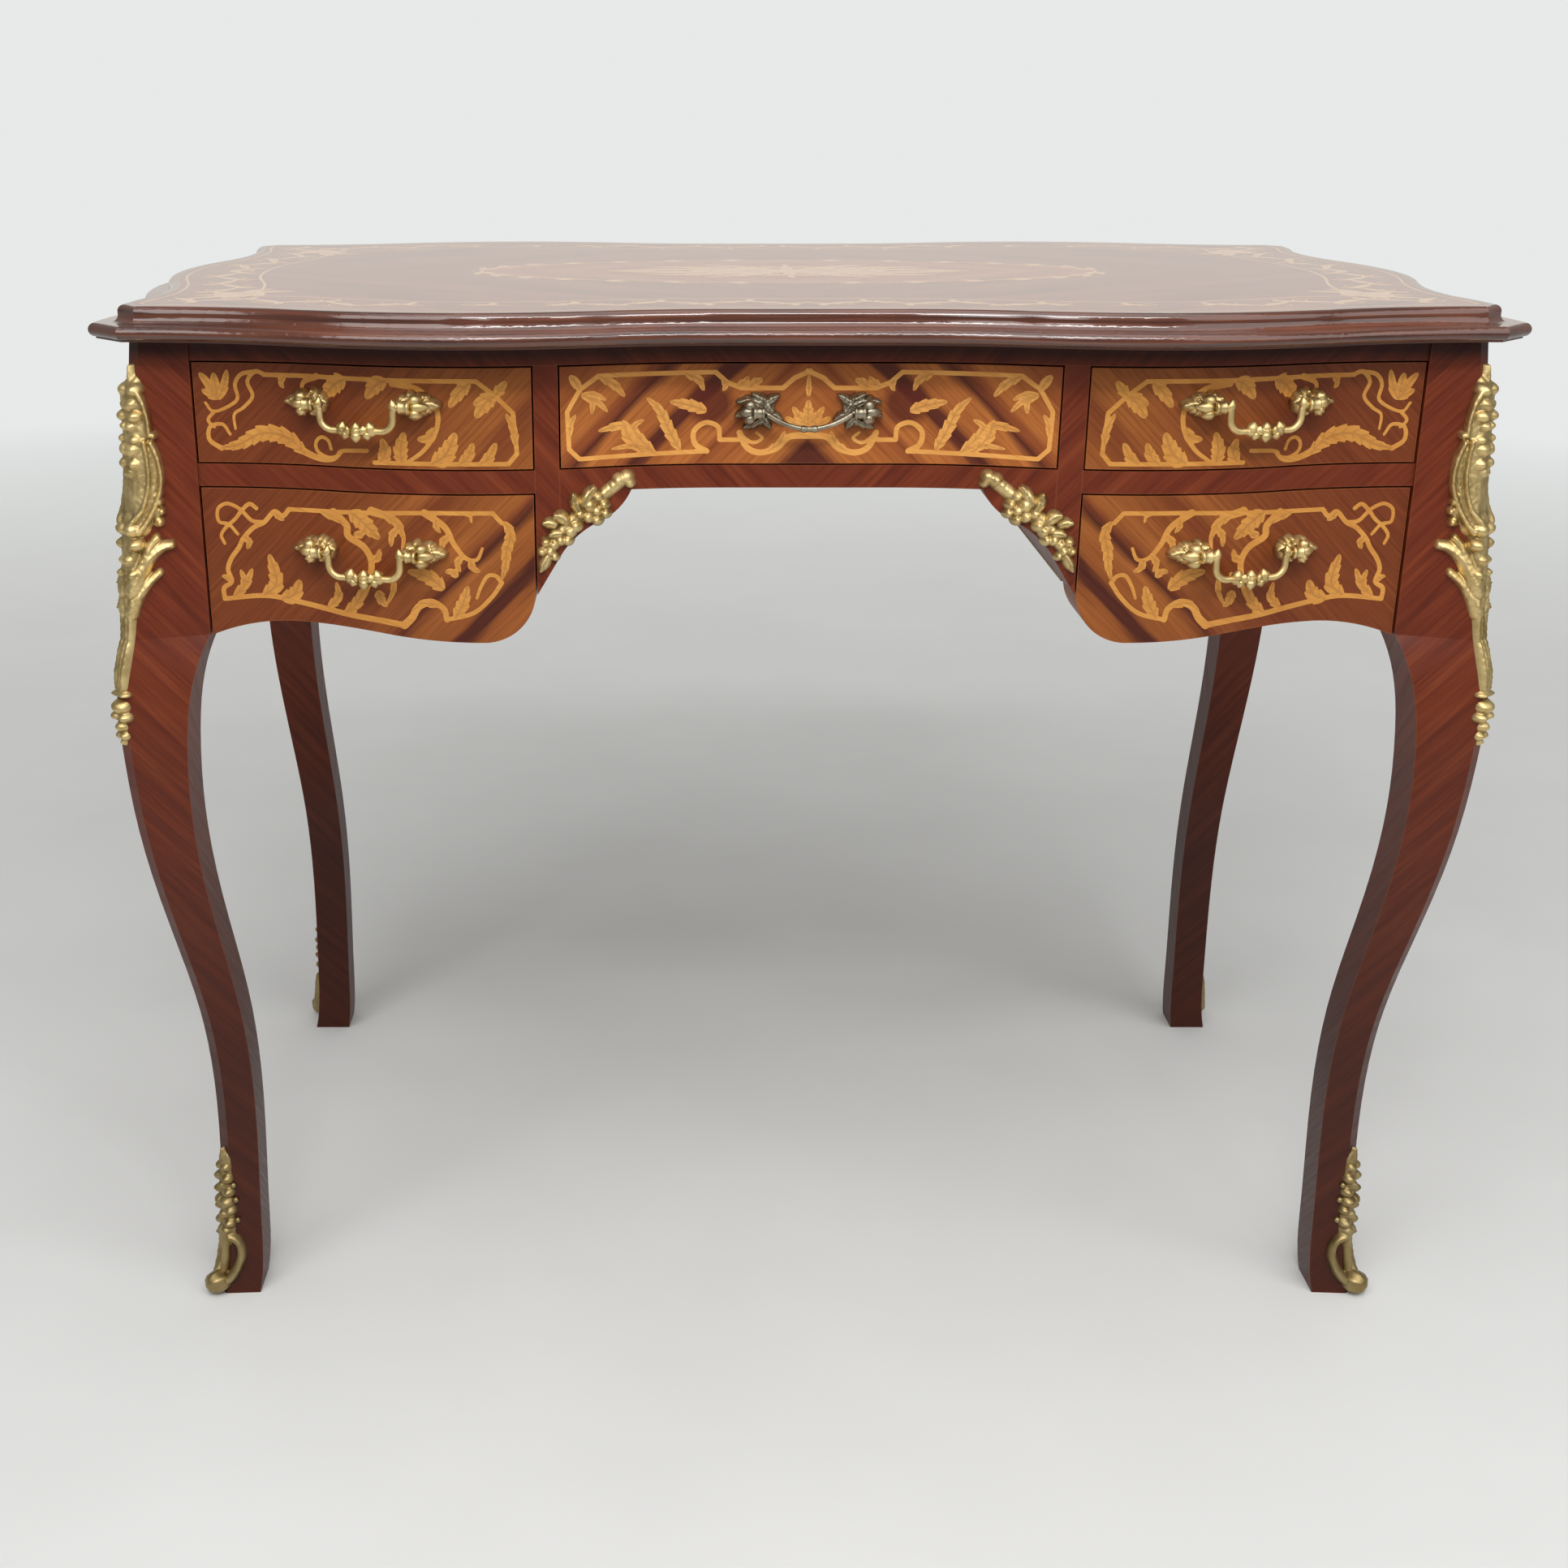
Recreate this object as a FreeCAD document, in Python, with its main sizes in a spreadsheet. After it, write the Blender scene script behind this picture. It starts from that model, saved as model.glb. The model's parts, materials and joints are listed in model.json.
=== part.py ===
"""Serpentine writing desk: carcass on cabriole legs, five drawers with swinging handles, cast mounts.

Millimetres. The origin is on the floor under the middle of the desk, +Z is up and the front faces -Y.
"""
import FreeCAD
import Part
import math
import os
import Sketcher

SIZES = {
    # top, in plan
    "height": 800,
    "top_thickness": 22,
    "corner_width": 1000,
    "corner_depth": 576,
    "corner_cant": 26,
    "front_swell": 42,
    "centre_swell": 17,
    "swell_at": 235,
    "centre_flat": 60,
    "side_swell": 17,
    "side_waist": 9,
    "side_waist_at": 172,
    # moulding round the top
    "moulding_width": 28,
    "moulding_ledge": 10,
    "upper_bead_share": 0.2,
    "cove_share": 0.22,
    "lower_bead_share": 0.21,
    "lower_lip_share": 0.06,
    # corner posts and legs: how far each section stands out from the inner edge of the post
    "leg_inset": 26,
    "leg_post": 42,
    "leg_cant": 8,
    "apron_level": 566,
    "apron_out": 60,
    "apron_face": 43,
    "knee_level": 485,
    "knee_out": 67.5,
    "knee_face": 62,
    "knee_inner": 19,
    "calf_level": 420,
    "calf_out": 63,
    "calf_face": 60,
    "calf_inner": 20,
    "shank_level": 340,
    "shank_out": 51,
    "shank_face": 49,
    "shank_inner": 13,
    "shin_level": 250,
    "shin_out": 35.5,
    "shin_face": 34.5,
    "shin_inner": 1.5,
    "ankle_level": 150,
    "ankle_out": 30.5,
    "ankle_face": 30,
    "ankle_inner": -2,
    "foot_level": 60,
    "foot_out": 33,
    "foot_face": 32,
    "foot_inner": 0,
    "toe_out": 40,
    "toe_face": 38.5,
    "toe_inner": 4,
    # serpentine front frame
    "frame_setback": 2,
    "frame_swell": 30,
    "frame_centre_swell": 6,
    "rail_depth": 22,
    "top_rail": 15.5,
    "upper_opening": 72,
    "mid_rail": 16,
    "kneehole_width": 348,
    "stile_width": 17,
    # kneehole brackets
    "bracket_reach": 50,
    "bracket_turn": 27,
    "bracket_turn_drop": 22,
    "bracket_drop": 45,
    "bracket_hollow": 42,
    "bracket_round": 60,
    "stile_drop": 73,
    # side panels
    "panel_recess": 10,
    "panel_swell": 22,
    "panel_thickness": 16,
    "panel_arch_at": 130,
    "panel_arch_rise": 12,
    "panel_belly": 6,
    # drawers
    "drawer_gap": 1.2,
    "lower_front": 107.5,
    "lobe_radius": 37,
    "arch_from_leg": 62,
    "arch_rise": 10,
    "arch_drop": 12,
    "box_play": 2,
    "runner_play": 0.3,
    "box_side": 10,
    "box_bottom": 5,
    "bottom_lift": 5,
    "groove": 4,
    "groove_play": 0.5,
    "box_rear_space": 24,
    "upper_box": 56,
    "lower_box": 50,
    "lower_runner_drop": 66,
    "runner_width": 14,
    "runner_height": 9,
    # glue blocks and screws under the top
    "block_size": 17,
    "block_length": 60,
    "block_spread": 300,
    "block_step": 90,
    "screw_spread": 300,
    "screw_shank": 2,
    "screw_play": 0.3,
    "screw_head": 4,
    "screw_head_height": 3,
    "screw_sink": 7,
    "screw_bite": 13,
    # handles
    "post_spacing": 70,
    "post_standoff": 15,
    "plate_inner": 8,
    "plate_outer": 20.5,
    "plate_tall": 10,
    "plate_proud": 5,
    "neck_radius": 3.4,
    "knuckle_radius": 4.6,
    "knuckle_length": 8,
    "pin_radius": 1.8,
    "pin_play": 0.08,
    "bail_rod": 2.2,
    "bail_end_play": 0.4,
    "bail_bend": 4,
    "bail_drop": 17,
    "bail_clasp_long": 10,
    "bail_clasp_radius": 5,
    "centre_bail_drop": 11,
    "centre_clasp_radius": 3.4,
    "stud_radius": 2.4,
    "stud_play": 0.3,
    "nut_radius": 5.5,
    "nut_height": 4,
    "handle_rise_upper": 46,
    "handle_rise_centre": 39,
    "handle_drop_lower": 42,
    "handle_shift": 2.5,
    # cast mounts: reach from the leg's corner and height of the ridge, at shares of the mount's length
    "mount_skin": 3,
    "knee_mount_top": 760,
    "knee_mount_low": 488,
    "knee_head_reach": 12,
    "knee_head_ridge": 4,
    "knee_scroll_at": 0.21,
    "knee_scroll_reach": 20,
    "knee_scroll_ridge": 8,
    "knee_leaf_at": 0.44,
    "knee_leaf_reach": 33,
    "knee_leaf_ridge": 8,
    "knee_neck_at": 0.58,
    "knee_neck_reach": 20,
    "knee_neck_ridge": 7,
    "knee_stem_at": 0.72,
    "knee_stem_reach": 14,
    "knee_stem_ridge": 5,
    "knee_tip_reach": 12,
    "knee_tip_ridge": 4,
    "sabot_top": 129,
    "sabot_rim_reach": 13,
    "sabot_rim_ridge": 3.5,
    "sabot_waist_at": 0.45,
    "sabot_waist_reach": 20,
    "sabot_waist_ridge": 4.5,
    "sabot_scroll_at": 0.8,
    "sabot_scroll_reach": 28,
    "sabot_scroll_ridge": 6.5,
    "sabot_toe_reach": 34,
    "sabot_toe_ridge": 9,
    "spandrel_thickness": 7,
    "spandrel_width": 26,
    "spandrel_margin": 6,
}

doc = FreeCAD.newDocument("WritingDesk")
sheet = doc.addObject("Spreadsheet::Sheet", "Sizes")
for row, (alias, number) in enumerate(SIZES.items(), 1):
    sheet.set(f"A{row}", alias)
    sheet.set(f"B{row}", str(number))
    sheet.setAlias(f"B{row}", alias)
doc.recompute()


class Size:
    """A length known both as a number and as the expression that ties it to the sheet."""

    def __init__(self, number, text):
        self.number = float(number)
        self.text = text

    def __add__(self, other):
        other = as_size(other)
        return Size(self.number + other.number, f"({self.text} + {other.text})")

    def __radd__(self, other):
        return as_size(other) + self

    def __sub__(self, other):
        other = as_size(other)
        return Size(self.number - other.number, f"({self.text} - {other.text})")

    def __rsub__(self, other):
        return as_size(other) - self

    def __mul__(self, other):
        other = as_size(other)
        return Size(self.number * other.number, f"({self.text} * {other.text})")

    def __rmul__(self, other):
        return as_size(other) * self

    def __truediv__(self, other):
        other = as_size(other)
        return Size(self.number / other.number, f"({self.text} / {other.text})")

    def __neg__(self):
        return Size(-self.number, f"(-{self.text})")


def as_size(value):
    """A plain number as a Size."""
    return value if isinstance(value, Size) else Size(value, repr(float(value)))


class Sheet:
    """The cells of the sheet, each as a Size."""

    def __getattr__(self, alias):
        return Size(sheet.get(alias), f"Sizes.{alias}")


cell = Sheet()
ZERO = as_size(0)
NODES = []


def keep(piece, label):
    """Name a finished piece after its file."""
    piece.Label = label
    NODES.append(piece)
    return piece


def bind(owner, path, value):
    """Tie one property of an object to the sheet."""
    owner.setExpression(path, as_size(value).text)


def block(name, x, y, z):
    """A box between two values on each axis."""
    box = doc.addObject("Part::Box", name)
    for side, axis, (low, high) in zip(("Length", "Width", "Height"), "xyz", (x, y, z)):
        bind(box, side, as_size(high) - low)
        bind(box, f".Placement.Base.{axis}", low)
    return box


def rod(name, radius, length, place):
    """A cylinder that starts at a place and runs along +Z."""
    cylinder = doc.addObject("Part::Cylinder", name)
    bind(cylinder, "Radius", radius)
    bind(cylinder, "Height", length)
    for axis, value in zip("xyz", place):
        bind(cylinder, f".Placement.Base.{axis}", value)
    return cylinder


def boolean(kind, name, base, tool):
    """A cut, a common or a fuse of two objects."""
    result = doc.addObject(f"Part::{kind}", name)
    result.Base = base
    result.Tool = tool
    return result


def group(name, pieces):
    """Several loose solids kept as one piece."""
    result = doc.addObject("Part::Compound", name)
    result.Links = pieces
    return result


def mirror(name, source, axis):
    """The same piece on the other side of the middle plane across an axis."""
    copy = doc.addObject("Part::Mirroring", name)
    copy.Source = source
    copy.Normal = FreeCAD.Vector(*(1.0 if letter == axis else 0.0 for letter in "xyz"))
    return copy


def pair(piece, stem):
    """Keep a right-hand piece and its left-hand mirror image."""
    keep(piece, f"{stem}_right")
    keep(mirror(f"{stem}_left", piece, "x"), f"{stem}_left")


def quarter_set(piece, stem):
    """Keep a front right piece and its images at the other three corners."""
    pair(piece, f"{stem}_front")
    pair(mirror(f"{stem}_rear_right", piece, "y"), f"{stem}_rear")


def arc_between(start, end, radius):
    """The short arc between two points, turning left for a positive radius and right for a negative one."""
    first = FreeCAD.Vector(start[0], start[1], 0)
    last = FreeCAD.Vector(end[0], end[1], 0)
    chord = last - first
    left = FreeCAD.Vector(-chord.y, chord.x, 0).normalize()
    rise = math.sqrt(radius * radius - chord.Length ** 2 / 4)
    centre = (first + last) / 2 + left * math.copysign(rise, radius)
    if radius < 0:
        first, last = last, first
    opening, closing = (math.atan2(end.y - centre.y, end.x - centre.x) for end in (first, last))
    if closing < opening:
        closing += 2 * math.pi
    circle = Part.Circle(centre, FreeCAD.Vector(0, 0, 1), abs(radius))
    return Part.ArcOfCircle(circle, opening, closing)


class Outline:
    """A closed sketch outline whose corners are pinned to the sheet."""

    def __init__(self, sketch, start):
        self.sketch = sketch
        self.start = start
        self.here = start
        self.first = None
        self.last = None

    def numbers(self, point):
        return [as_size(value).number for value in point]

    def constrain(self, *terms):
        return self.sketch.addConstraint(Sketcher.Constraint(*terms))

    def pin(self, end, point):
        for kind, value in zip(("DistanceX", "DistanceY"), point):
            value = as_size(value)
            index = self.constrain(kind, -1, 1, *end, value.number)
            bind(self.sketch, f"Constraints[{index}]", value)

    def place(self, curve, start):
        """Add a curve and tell which of its ends is its start on the outline."""
        index = self.sketch.addGeometry(curve)
        made = self.sketch.Geometry[index]
        forward = (made.StartPoint - FreeCAD.Vector(start[0], start[1], 0)).Length < 1e-4
        return index, (1, 2) if forward else (2, 1)

    def join(self, index, ends):
        if self.last is None:
            self.first = (index, ends[0])
            self.pin(self.first, self.start)
        else:
            self.constrain("Coincident", *self.last, index, ends[0])

    def settle(self, end, there):
        """Pin the end of a step, or close the outline where it began."""
        if there is self.start:
            self.constrain("Coincident", *end, *self.first)
        else:
            self.pin(end, there)
        self.last = end
        self.here = there

    def line(self, there):
        start, end = self.numbers(self.here), self.numbers(there)
        curve = Part.LineSegment(FreeCAD.Vector(*start, 0), FreeCAD.Vector(*end, 0))
        index, ends = self.place(curve, start)
        self.join(index, ends)
        self.settle((index, ends[1]), there)

    def arc(self, there, radius, side):
        start, end = self.numbers(self.here), self.numbers(there)
        index, ends = self.place(arc_between(start, end, side * as_size(radius).number), start)
        self.join(index, ends)
        bind(self.sketch, f"Constraints[{self.constrain('Radius', index, as_size(radius).number)}]", radius)
        self.settle((index, ends[1]), there)

    def ogee(self, there, along):
        """Two equal arcs that leave and arrive along the x or y direction of the sketch."""
        start, end = self.numbers(self.here), self.numbers(there)
        run, rise = end[0] - start[0], end[1] - start[1]
        middle = [(start[0] + end[0]) / 2, (start[1] + end[1]) / 2]
        across = rise if along == "x" else run
        side = math.copysign(1, run * rise) * (1 if along == "x" else -1)
        radius = side * (run * run + rise * rise) / abs(4 * across)
        one, one_ends = self.place(arc_between(start, middle, radius), start)
        two, two_ends = self.place(arc_between(middle, end, -radius), middle)
        self.join(one, one_ends)
        self.constrain("Tangent", one, one_ends[1], two, two_ends[0])
        upright = "Vertical" if along == "x" else "Horizontal"
        self.constrain(upright, one, 3, one, one_ends[0])
        self.constrain("Equal", one, two)
        self.constrain(upright, two, 3, two, two_ends[1])
        self.settle((two, two_ends[1]), there)

    def close(self):
        self.line(self.start)


def sketch_on(body, name, role, offset):
    """An empty sketch on one of the body's own origin planes, moved along the plane's normal."""
    sketch = body.newObject("Sketcher::SketchObject", name)
    plane = next(feature for feature in body.Origin.OriginFeatures if feature.Role == role)
    sketch.AttachmentSupport = [(plane, "")]
    sketch.MapMode = "FlatFace"
    bind(sketch, ".AttachmentOffset.Base.z", offset)
    return sketch


def padded(name, role, offset, length, draw):
    """A body padded from the outline that draw() traces."""
    body = doc.addObject("PartDesign::Body", name)
    sketch = sketch_on(body, f"{name}_outline", role, offset)
    draw(sketch)
    pad = body.newObject("PartDesign::Pad", f"{name}_pad")
    pad.Profile = sketch
    bind(pad, "Length", length)
    return body


def polygon(points):
    """A drawing function for a closed outline of straight lines."""
    def draw(sketch):
        outline = Outline(sketch, points[0])
        for point in points[1:]:
            outline.line(point)
        outline.close()
    return draw


# Lines that several pieces share
FRAME_TOP = cell.height - cell.top_thickness
TIP_X = cell.corner_width / 2
ARRIS_Y = cell.corner_depth / 2
LEG_INNER_X = TIP_X - cell.leg_inset - cell.leg_post
LEG_INNER_Y = ARRIS_Y - cell.leg_inset - cell.leg_post
FACE_LEG = LEG_INNER_Y + cell.leg_post - cell.frame_setback
FACE_SWELL = FACE_LEG + cell.frame_swell
FACE_CENTRE = FACE_LEG + cell.frame_centre_swell
BACK_LINE = FACE_LEG - cell.rail_depth
BLANK_DEPTH = FACE_SWELL - BACK_LINE + cell.rail_depth
OPENING_TOP = FRAME_TOP - cell.top_rail
OPENING_LOW = OPENING_TOP - cell.upper_opening
LOWER_TOP = OPENING_LOW - cell.mid_rail
STILE_IN = cell.kneehole_width / 2
STILE_OUT = STILE_IN + cell.stile_width
PARTITION_LOW = LOWER_TOP - cell.stile_drop
HANDLE_X = (STILE_OUT + LEG_INNER_X) / 2 - cell.handle_shift


def front_envelope(name, forward):
    """Everything behind the serpentine front face, moved forward by a distance."""
    def draw(sketch):
        outline = Outline(sketch, (-LEG_INNER_X, ZERO))
        outline.line((-LEG_INNER_X, -(FACE_LEG + forward)))
        outline.ogee((-cell.swell_at, -(FACE_SWELL + forward)), "x")
        outline.ogee((-cell.centre_flat, -(FACE_CENTRE + forward)), "x")
        outline.line((cell.centre_flat, -(FACE_CENTRE + forward)))
        outline.ogee((cell.swell_at, -(FACE_SWELL + forward)), "x")
        outline.ogee((LEG_INNER_X, -(FACE_LEG + forward)), "x")
        outline.line((LEG_INNER_X, ZERO))
        outline.close()
    return padded(name, "XY_Plane", ZERO, cell.height, draw)


def face_line(x):
    """Distance of the serpentine front face from the middle plane, as a number, at a place along it."""
    def curve(place, low, low_value, high, high_value):
        half = (high - low) / 2
        rise = abs(high_value - low_value) / 2
        radius = (half * half + rise * rise) / (2 * rise)
        near, value, other = (low, low_value, high_value)
        if place >= low + half:
            near, value, other = (high, high_value, low_value)
        drop = radius - math.sqrt(radius * radius - (place - near) ** 2)
        return value + math.copysign(drop, other - value)
    if x <= cell.centre_flat.number:
        return FACE_CENTRE.number
    if x <= cell.swell_at.number:
        return curve(x, cell.centre_flat.number, FACE_CENTRE.number, cell.swell_at.number, FACE_SWELL.number)
    return curve(x, cell.swell_at.number, FACE_SWELL.number, LEG_INNER_X.number, FACE_LEG.number)


envelope = front_envelope("front_envelope", ZERO)


def faced(name, blank):
    """A front piece, its blank trimmed to the serpentine face."""
    return boolean("Common", name, blank, envelope)


def front_block(name, x, z):
    """A blank for a front piece with straight edges."""
    return block(f"{name}_blank", x, (-(BACK_LINE + BLANK_DEPTH), -BACK_LINE), z)


def front_shape(name, draw):
    """A blank for a front piece with a drawn elevation."""
    return padded(f"{name}_blank", "XZ_Plane", BACK_LINE, BLANK_DEPTH, draw)


# Top panel and its edge moulding
MITRE = math.sqrt(2) - 1


def trace_top(inset):
    """A drawing function for the top's outline, drawn in by a distance."""
    def draw(sketch):
        tip_x = TIP_X - inset
        tip_y = ARRIS_Y - cell.corner_cant - inset * MITRE
        arris_x = TIP_X - cell.corner_cant - inset * MITRE
        arris_y = ARRIS_Y - inset
        waist_x = tip_x - cell.side_waist
        side_x = tip_x + cell.side_swell
        swell_y = arris_y + cell.front_swell
        centre_y = arris_y + cell.centre_swell
        outline = Outline(sketch, (-cell.centre_flat, -centre_y))
        outline.line((cell.centre_flat, -centre_y))
        outline.ogee((cell.swell_at, -swell_y), "x")
        outline.ogee((arris_x, -arris_y), "x")
        outline.line((tip_x, -tip_y))
        outline.ogee((waist_x, -cell.side_waist_at), "y")
        outline.ogee((side_x, ZERO), "y")
        outline.ogee((waist_x, cell.side_waist_at), "y")
        outline.ogee((tip_x, tip_y), "y")
        outline.line((arris_x, arris_y))
        outline.ogee((cell.swell_at, swell_y), "x")
        outline.ogee((cell.centre_flat, centre_y), "x")
        outline.line((-cell.centre_flat, centre_y))
        outline.ogee((-cell.swell_at, swell_y), "x")
        outline.ogee((-arris_x, arris_y), "x")
        outline.line((-tip_x, tip_y))
        outline.ogee((-waist_x, cell.side_waist_at), "y")
        outline.ogee((-side_x, ZERO), "y")
        outline.ogee((-waist_x, -cell.side_waist_at), "y")
        outline.ogee((-tip_x, -tip_y), "y")
        outline.line((-arris_x, -arris_y))
        outline.ogee((-cell.swell_at, -swell_y), "x")
        outline.ogee(outline.start, "x")
    return draw


def lofted(body, stem, sections, ruled):
    """A loft in a body through outlines drawn at several levels."""
    sketches = []
    for number, (level, draw) in enumerate(sections):
        sketch = sketch_on(body, f"{stem}_section_{number}", "XY_Plane", level)
        draw(sketch)
        sketches.append(sketch)
    loft = body.newObject("PartDesign::AdditiveLoft", f"{stem}_loft")
    loft.Profile = sketches[0]
    loft.Sections = sketches[1:]
    loft.Ruled = ruled
    return loft


UPPER_BEAD = cell.top_thickness * cell.upper_bead_share
COVE = cell.top_thickness * cell.cove_share
LOWER_BEAD = cell.top_thickness * cell.lower_bead_share
ROUND_LOW = FRAME_TOP + cell.top_thickness * cell.lower_lip_share
ROUND_MIDDLE = ROUND_LOW + LOWER_BEAD
COVE_TOP = ROUND_MIDDLE + LOWER_BEAD + COVE
LEDGE_IN = LOWER_BEAD + cell.moulding_ledge
COVE_IN = LEDGE_IN + COVE
BEAD_MIDDLE = cell.height - UPPER_BEAD


def edge_levels(middle_in, middle_z, radius, side, angles):
    """Levels round a bead, or round a cove when the side is negative, each with its inset."""
    levels = []
    for angle in angles:
        across, up = math.cos(math.radians(angle)), math.sin(math.radians(angle))
        levels.append((middle_z + radius * up, trace_top(middle_in - radius * across * side)))
    return levels


edge = doc.addObject("PartDesign::Body", "top_edge")
lofted(edge, "lip", [(FRAME_TOP, trace_top(LOWER_BEAD)), (ROUND_LOW, trace_top(LOWER_BEAD))], True)
lofted(edge, "lower_bead", edge_levels(LOWER_BEAD, ROUND_MIDDLE, LOWER_BEAD, 1, (-90, -45, 0, 45, 90)), False)
lofted(edge, "cove", edge_levels(LEDGE_IN, COVE_TOP, COVE, -1, (-90, -60, -30, 0)), False)
lofted(edge, "step", [(COVE_TOP, trace_top(COVE_IN)), (BEAD_MIDDLE, trace_top(COVE_IN))], True)
BEAD_IN = COVE_IN + UPPER_BEAD
lofted(edge, "upper_bead", edge_levels(BEAD_IN, BEAD_MIDDLE, UPPER_BEAD, 1, (0, 30, 60, 90)), False)
panel_blank = padded("top_panel_blank", "XY_Plane", FRAME_TOP, cell.top_thickness,
                     trace_top(cell.moulding_width))
keep(boolean("Cut", "top_moulding", edge, panel_blank), "top_moulding")

# Front top rail, with the screws that hold the top
SCREW_Y = -(BACK_LINE + cell.rail_depth / 2)
SCREW_SEAT = OPENING_TOP + cell.screw_sink
screw_places = [-cell.screw_spread, ZERO, cell.screw_spread]


def screw_tool(stem, shank, head, head_low):
    """Three stepped cylinders in a row: a head below the seat and a shank above it."""
    pieces = []
    for number, x in enumerate(screw_places):
        shank_top = FRAME_TOP + cell.screw_bite
        stem_rod = rod(f"{stem}_shank_{number}", shank, shank_top - SCREW_SEAT, (x, SCREW_Y, SCREW_SEAT))
        head_rod = rod(f"{stem}_head_{number}", head, SCREW_SEAT - head_low, (x, SCREW_Y, head_low))
        pieces.append(boolean("Fuse", f"{stem}_{number}", stem_rod, head_rod))
    return group(stem, pieces)


screws = screw_tool("top_screws", cell.screw_shank, cell.screw_head, SCREW_SEAT - cell.screw_head_height)
screw_holes = screw_tool("screw_holes", cell.screw_shank + cell.screw_play, cell.screw_head + cell.screw_play,
                         OPENING_TOP)
keep(screws, "top_screws")
keep(boolean("Cut", "top_panel", panel_blank, screws), "top_panel")
rail_blank = front_block("front_top_rail", (-LEG_INNER_X, LEG_INNER_X), (OPENING_TOP, FRAME_TOP))
rail_faced = faced("front_top_rail_faced", rail_blank)
keep(boolean("Cut", "front_top_rail", rail_faced, screw_holes), "front_top_rail")

# Rails between the drawers, stiles and partitions
mid_blank = front_block("mid_rail", (STILE_OUT, LEG_INNER_X), (LOWER_TOP, OPENING_LOW))
pair(faced("mid_rail_right", mid_blank), "mid_rail")
BRACKET_FOOT = LOWER_TOP - cell.bracket_drop


def trace_upright(top):
    """A drawing function for an upright whose foot slopes down from the kneehole to the lower drawer."""
    return polygon([(STILE_IN, BRACKET_FOOT), (STILE_OUT, PARTITION_LOW), (STILE_OUT, top), (STILE_IN, top)])


pair(faced("stile_right", front_shape("stile", trace_upright(OPENING_TOP))), "stile")
pair(padded("partition_right", "XZ_Plane", -BACK_LINE, BACK_LINE * 2, trace_upright(FRAME_TOP)), "partition")


def bracket_curve(outline, side, inward):
    """The curved lower edge of one kneehole bracket, drawn towards the middle or away from it."""
    foot = (side * STILE_IN, BRACKET_FOOT)
    turn = (side * (STILE_IN - cell.bracket_turn), LOWER_TOP - cell.bracket_turn_drop)
    head = (side * (STILE_IN - cell.bracket_reach), LOWER_TOP)
    if inward:
        outline.line(foot)
        outline.arc(turn, cell.bracket_round, side)
        outline.arc(head, cell.bracket_hollow, -side)
    else:
        outline.line(head)
        outline.arc(turn, cell.bracket_hollow, side)
        outline.arc(foot, cell.bracket_round, -side)


def trace_apron(sketch):
    outline = Outline(sketch, (-STILE_IN, OPENING_LOW))
    bracket_curve(outline, -1, True)
    bracket_curve(outline, 1, False)
    outline.line((STILE_IN, OPENING_LOW))
    outline.close()


keep(faced("kneehole_apron", front_shape("kneehole_apron", trace_apron)), "kneehole_apron")


# Scalloped lower edge shared by the lower drawer fronts and the back panel
LOBE_LOW = LOWER_TOP - cell.lower_front
ARCH_X = LEG_INNER_X - cell.arch_from_leg
ARCH_TOP = LOBE_LOW + cell.arch_rise
LEG_END = ARCH_TOP - cell.arch_drop
ARCH_RADIUS = ((cell.arch_from_leg * cell.arch_from_leg + cell.arch_drop * cell.arch_drop)
               / (2 * cell.arch_drop))


def trace_lower_front(sketch):
    left = STILE_OUT + cell.drawer_gap
    right = LEG_INNER_X - cell.drawer_gap
    top = LOWER_TOP - cell.drawer_gap
    outline = Outline(sketch, (left, top))
    outline.line((left, LOBE_LOW + cell.lobe_radius))
    outline.arc((left + cell.lobe_radius, LOBE_LOW), cell.lobe_radius, 1)
    outline.ogee((ARCH_X, ARCH_TOP), "x")
    outline.arc((right, LEG_END), ARCH_RADIUS, -1)
    outline.line((right, top))
    outline.close()


def trace_back(sketch):
    lobe_x = STILE_OUT + cell.lobe_radius
    lobe_top = LOBE_LOW + cell.lobe_radius
    outline = Outline(sketch, (-LEG_INNER_X, FRAME_TOP))
    outline.line((-LEG_INNER_X, LEG_END))
    outline.arc((-ARCH_X, ARCH_TOP), ARCH_RADIUS, -1)
    outline.ogee((-lobe_x, LOBE_LOW), "x")
    outline.arc((-STILE_OUT, lobe_top), cell.lobe_radius, 1)
    bracket_curve(outline, -1, True)
    bracket_curve(outline, 1, False)
    outline.line((STILE_OUT, lobe_top))
    outline.arc((lobe_x, LOBE_LOW), cell.lobe_radius, 1)
    outline.ogee((ARCH_X, ARCH_TOP), "x")
    outline.arc((LEG_INNER_X, LEG_END), ARCH_RADIUS, -1)
    outline.line((LEG_INNER_X, FRAME_TOP))
    outline.close()


back_faced = faced("back_panel_faced", front_shape("back_panel", trace_back))
keep(mirror("back_panel", back_faced, "y"), "back_panel")


# Side panels, serpentine in plan and scalloped below
def trace_side_plan(sketch):
    outer = LEG_INNER_X + cell.leg_post - cell.panel_recess
    inner = outer - cell.panel_thickness
    outline = Outline(sketch, (outer, -LEG_INNER_Y))
    outline.ogee((outer + cell.panel_swell, ZERO), "y")
    outline.ogee((outer, LEG_INNER_Y), "y")
    outline.line((inner, LEG_INNER_Y))
    outline.ogee((inner + cell.panel_swell, ZERO), "y")
    outline.ogee((inner, -LEG_INNER_Y), "y")
    outline.close()


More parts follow.
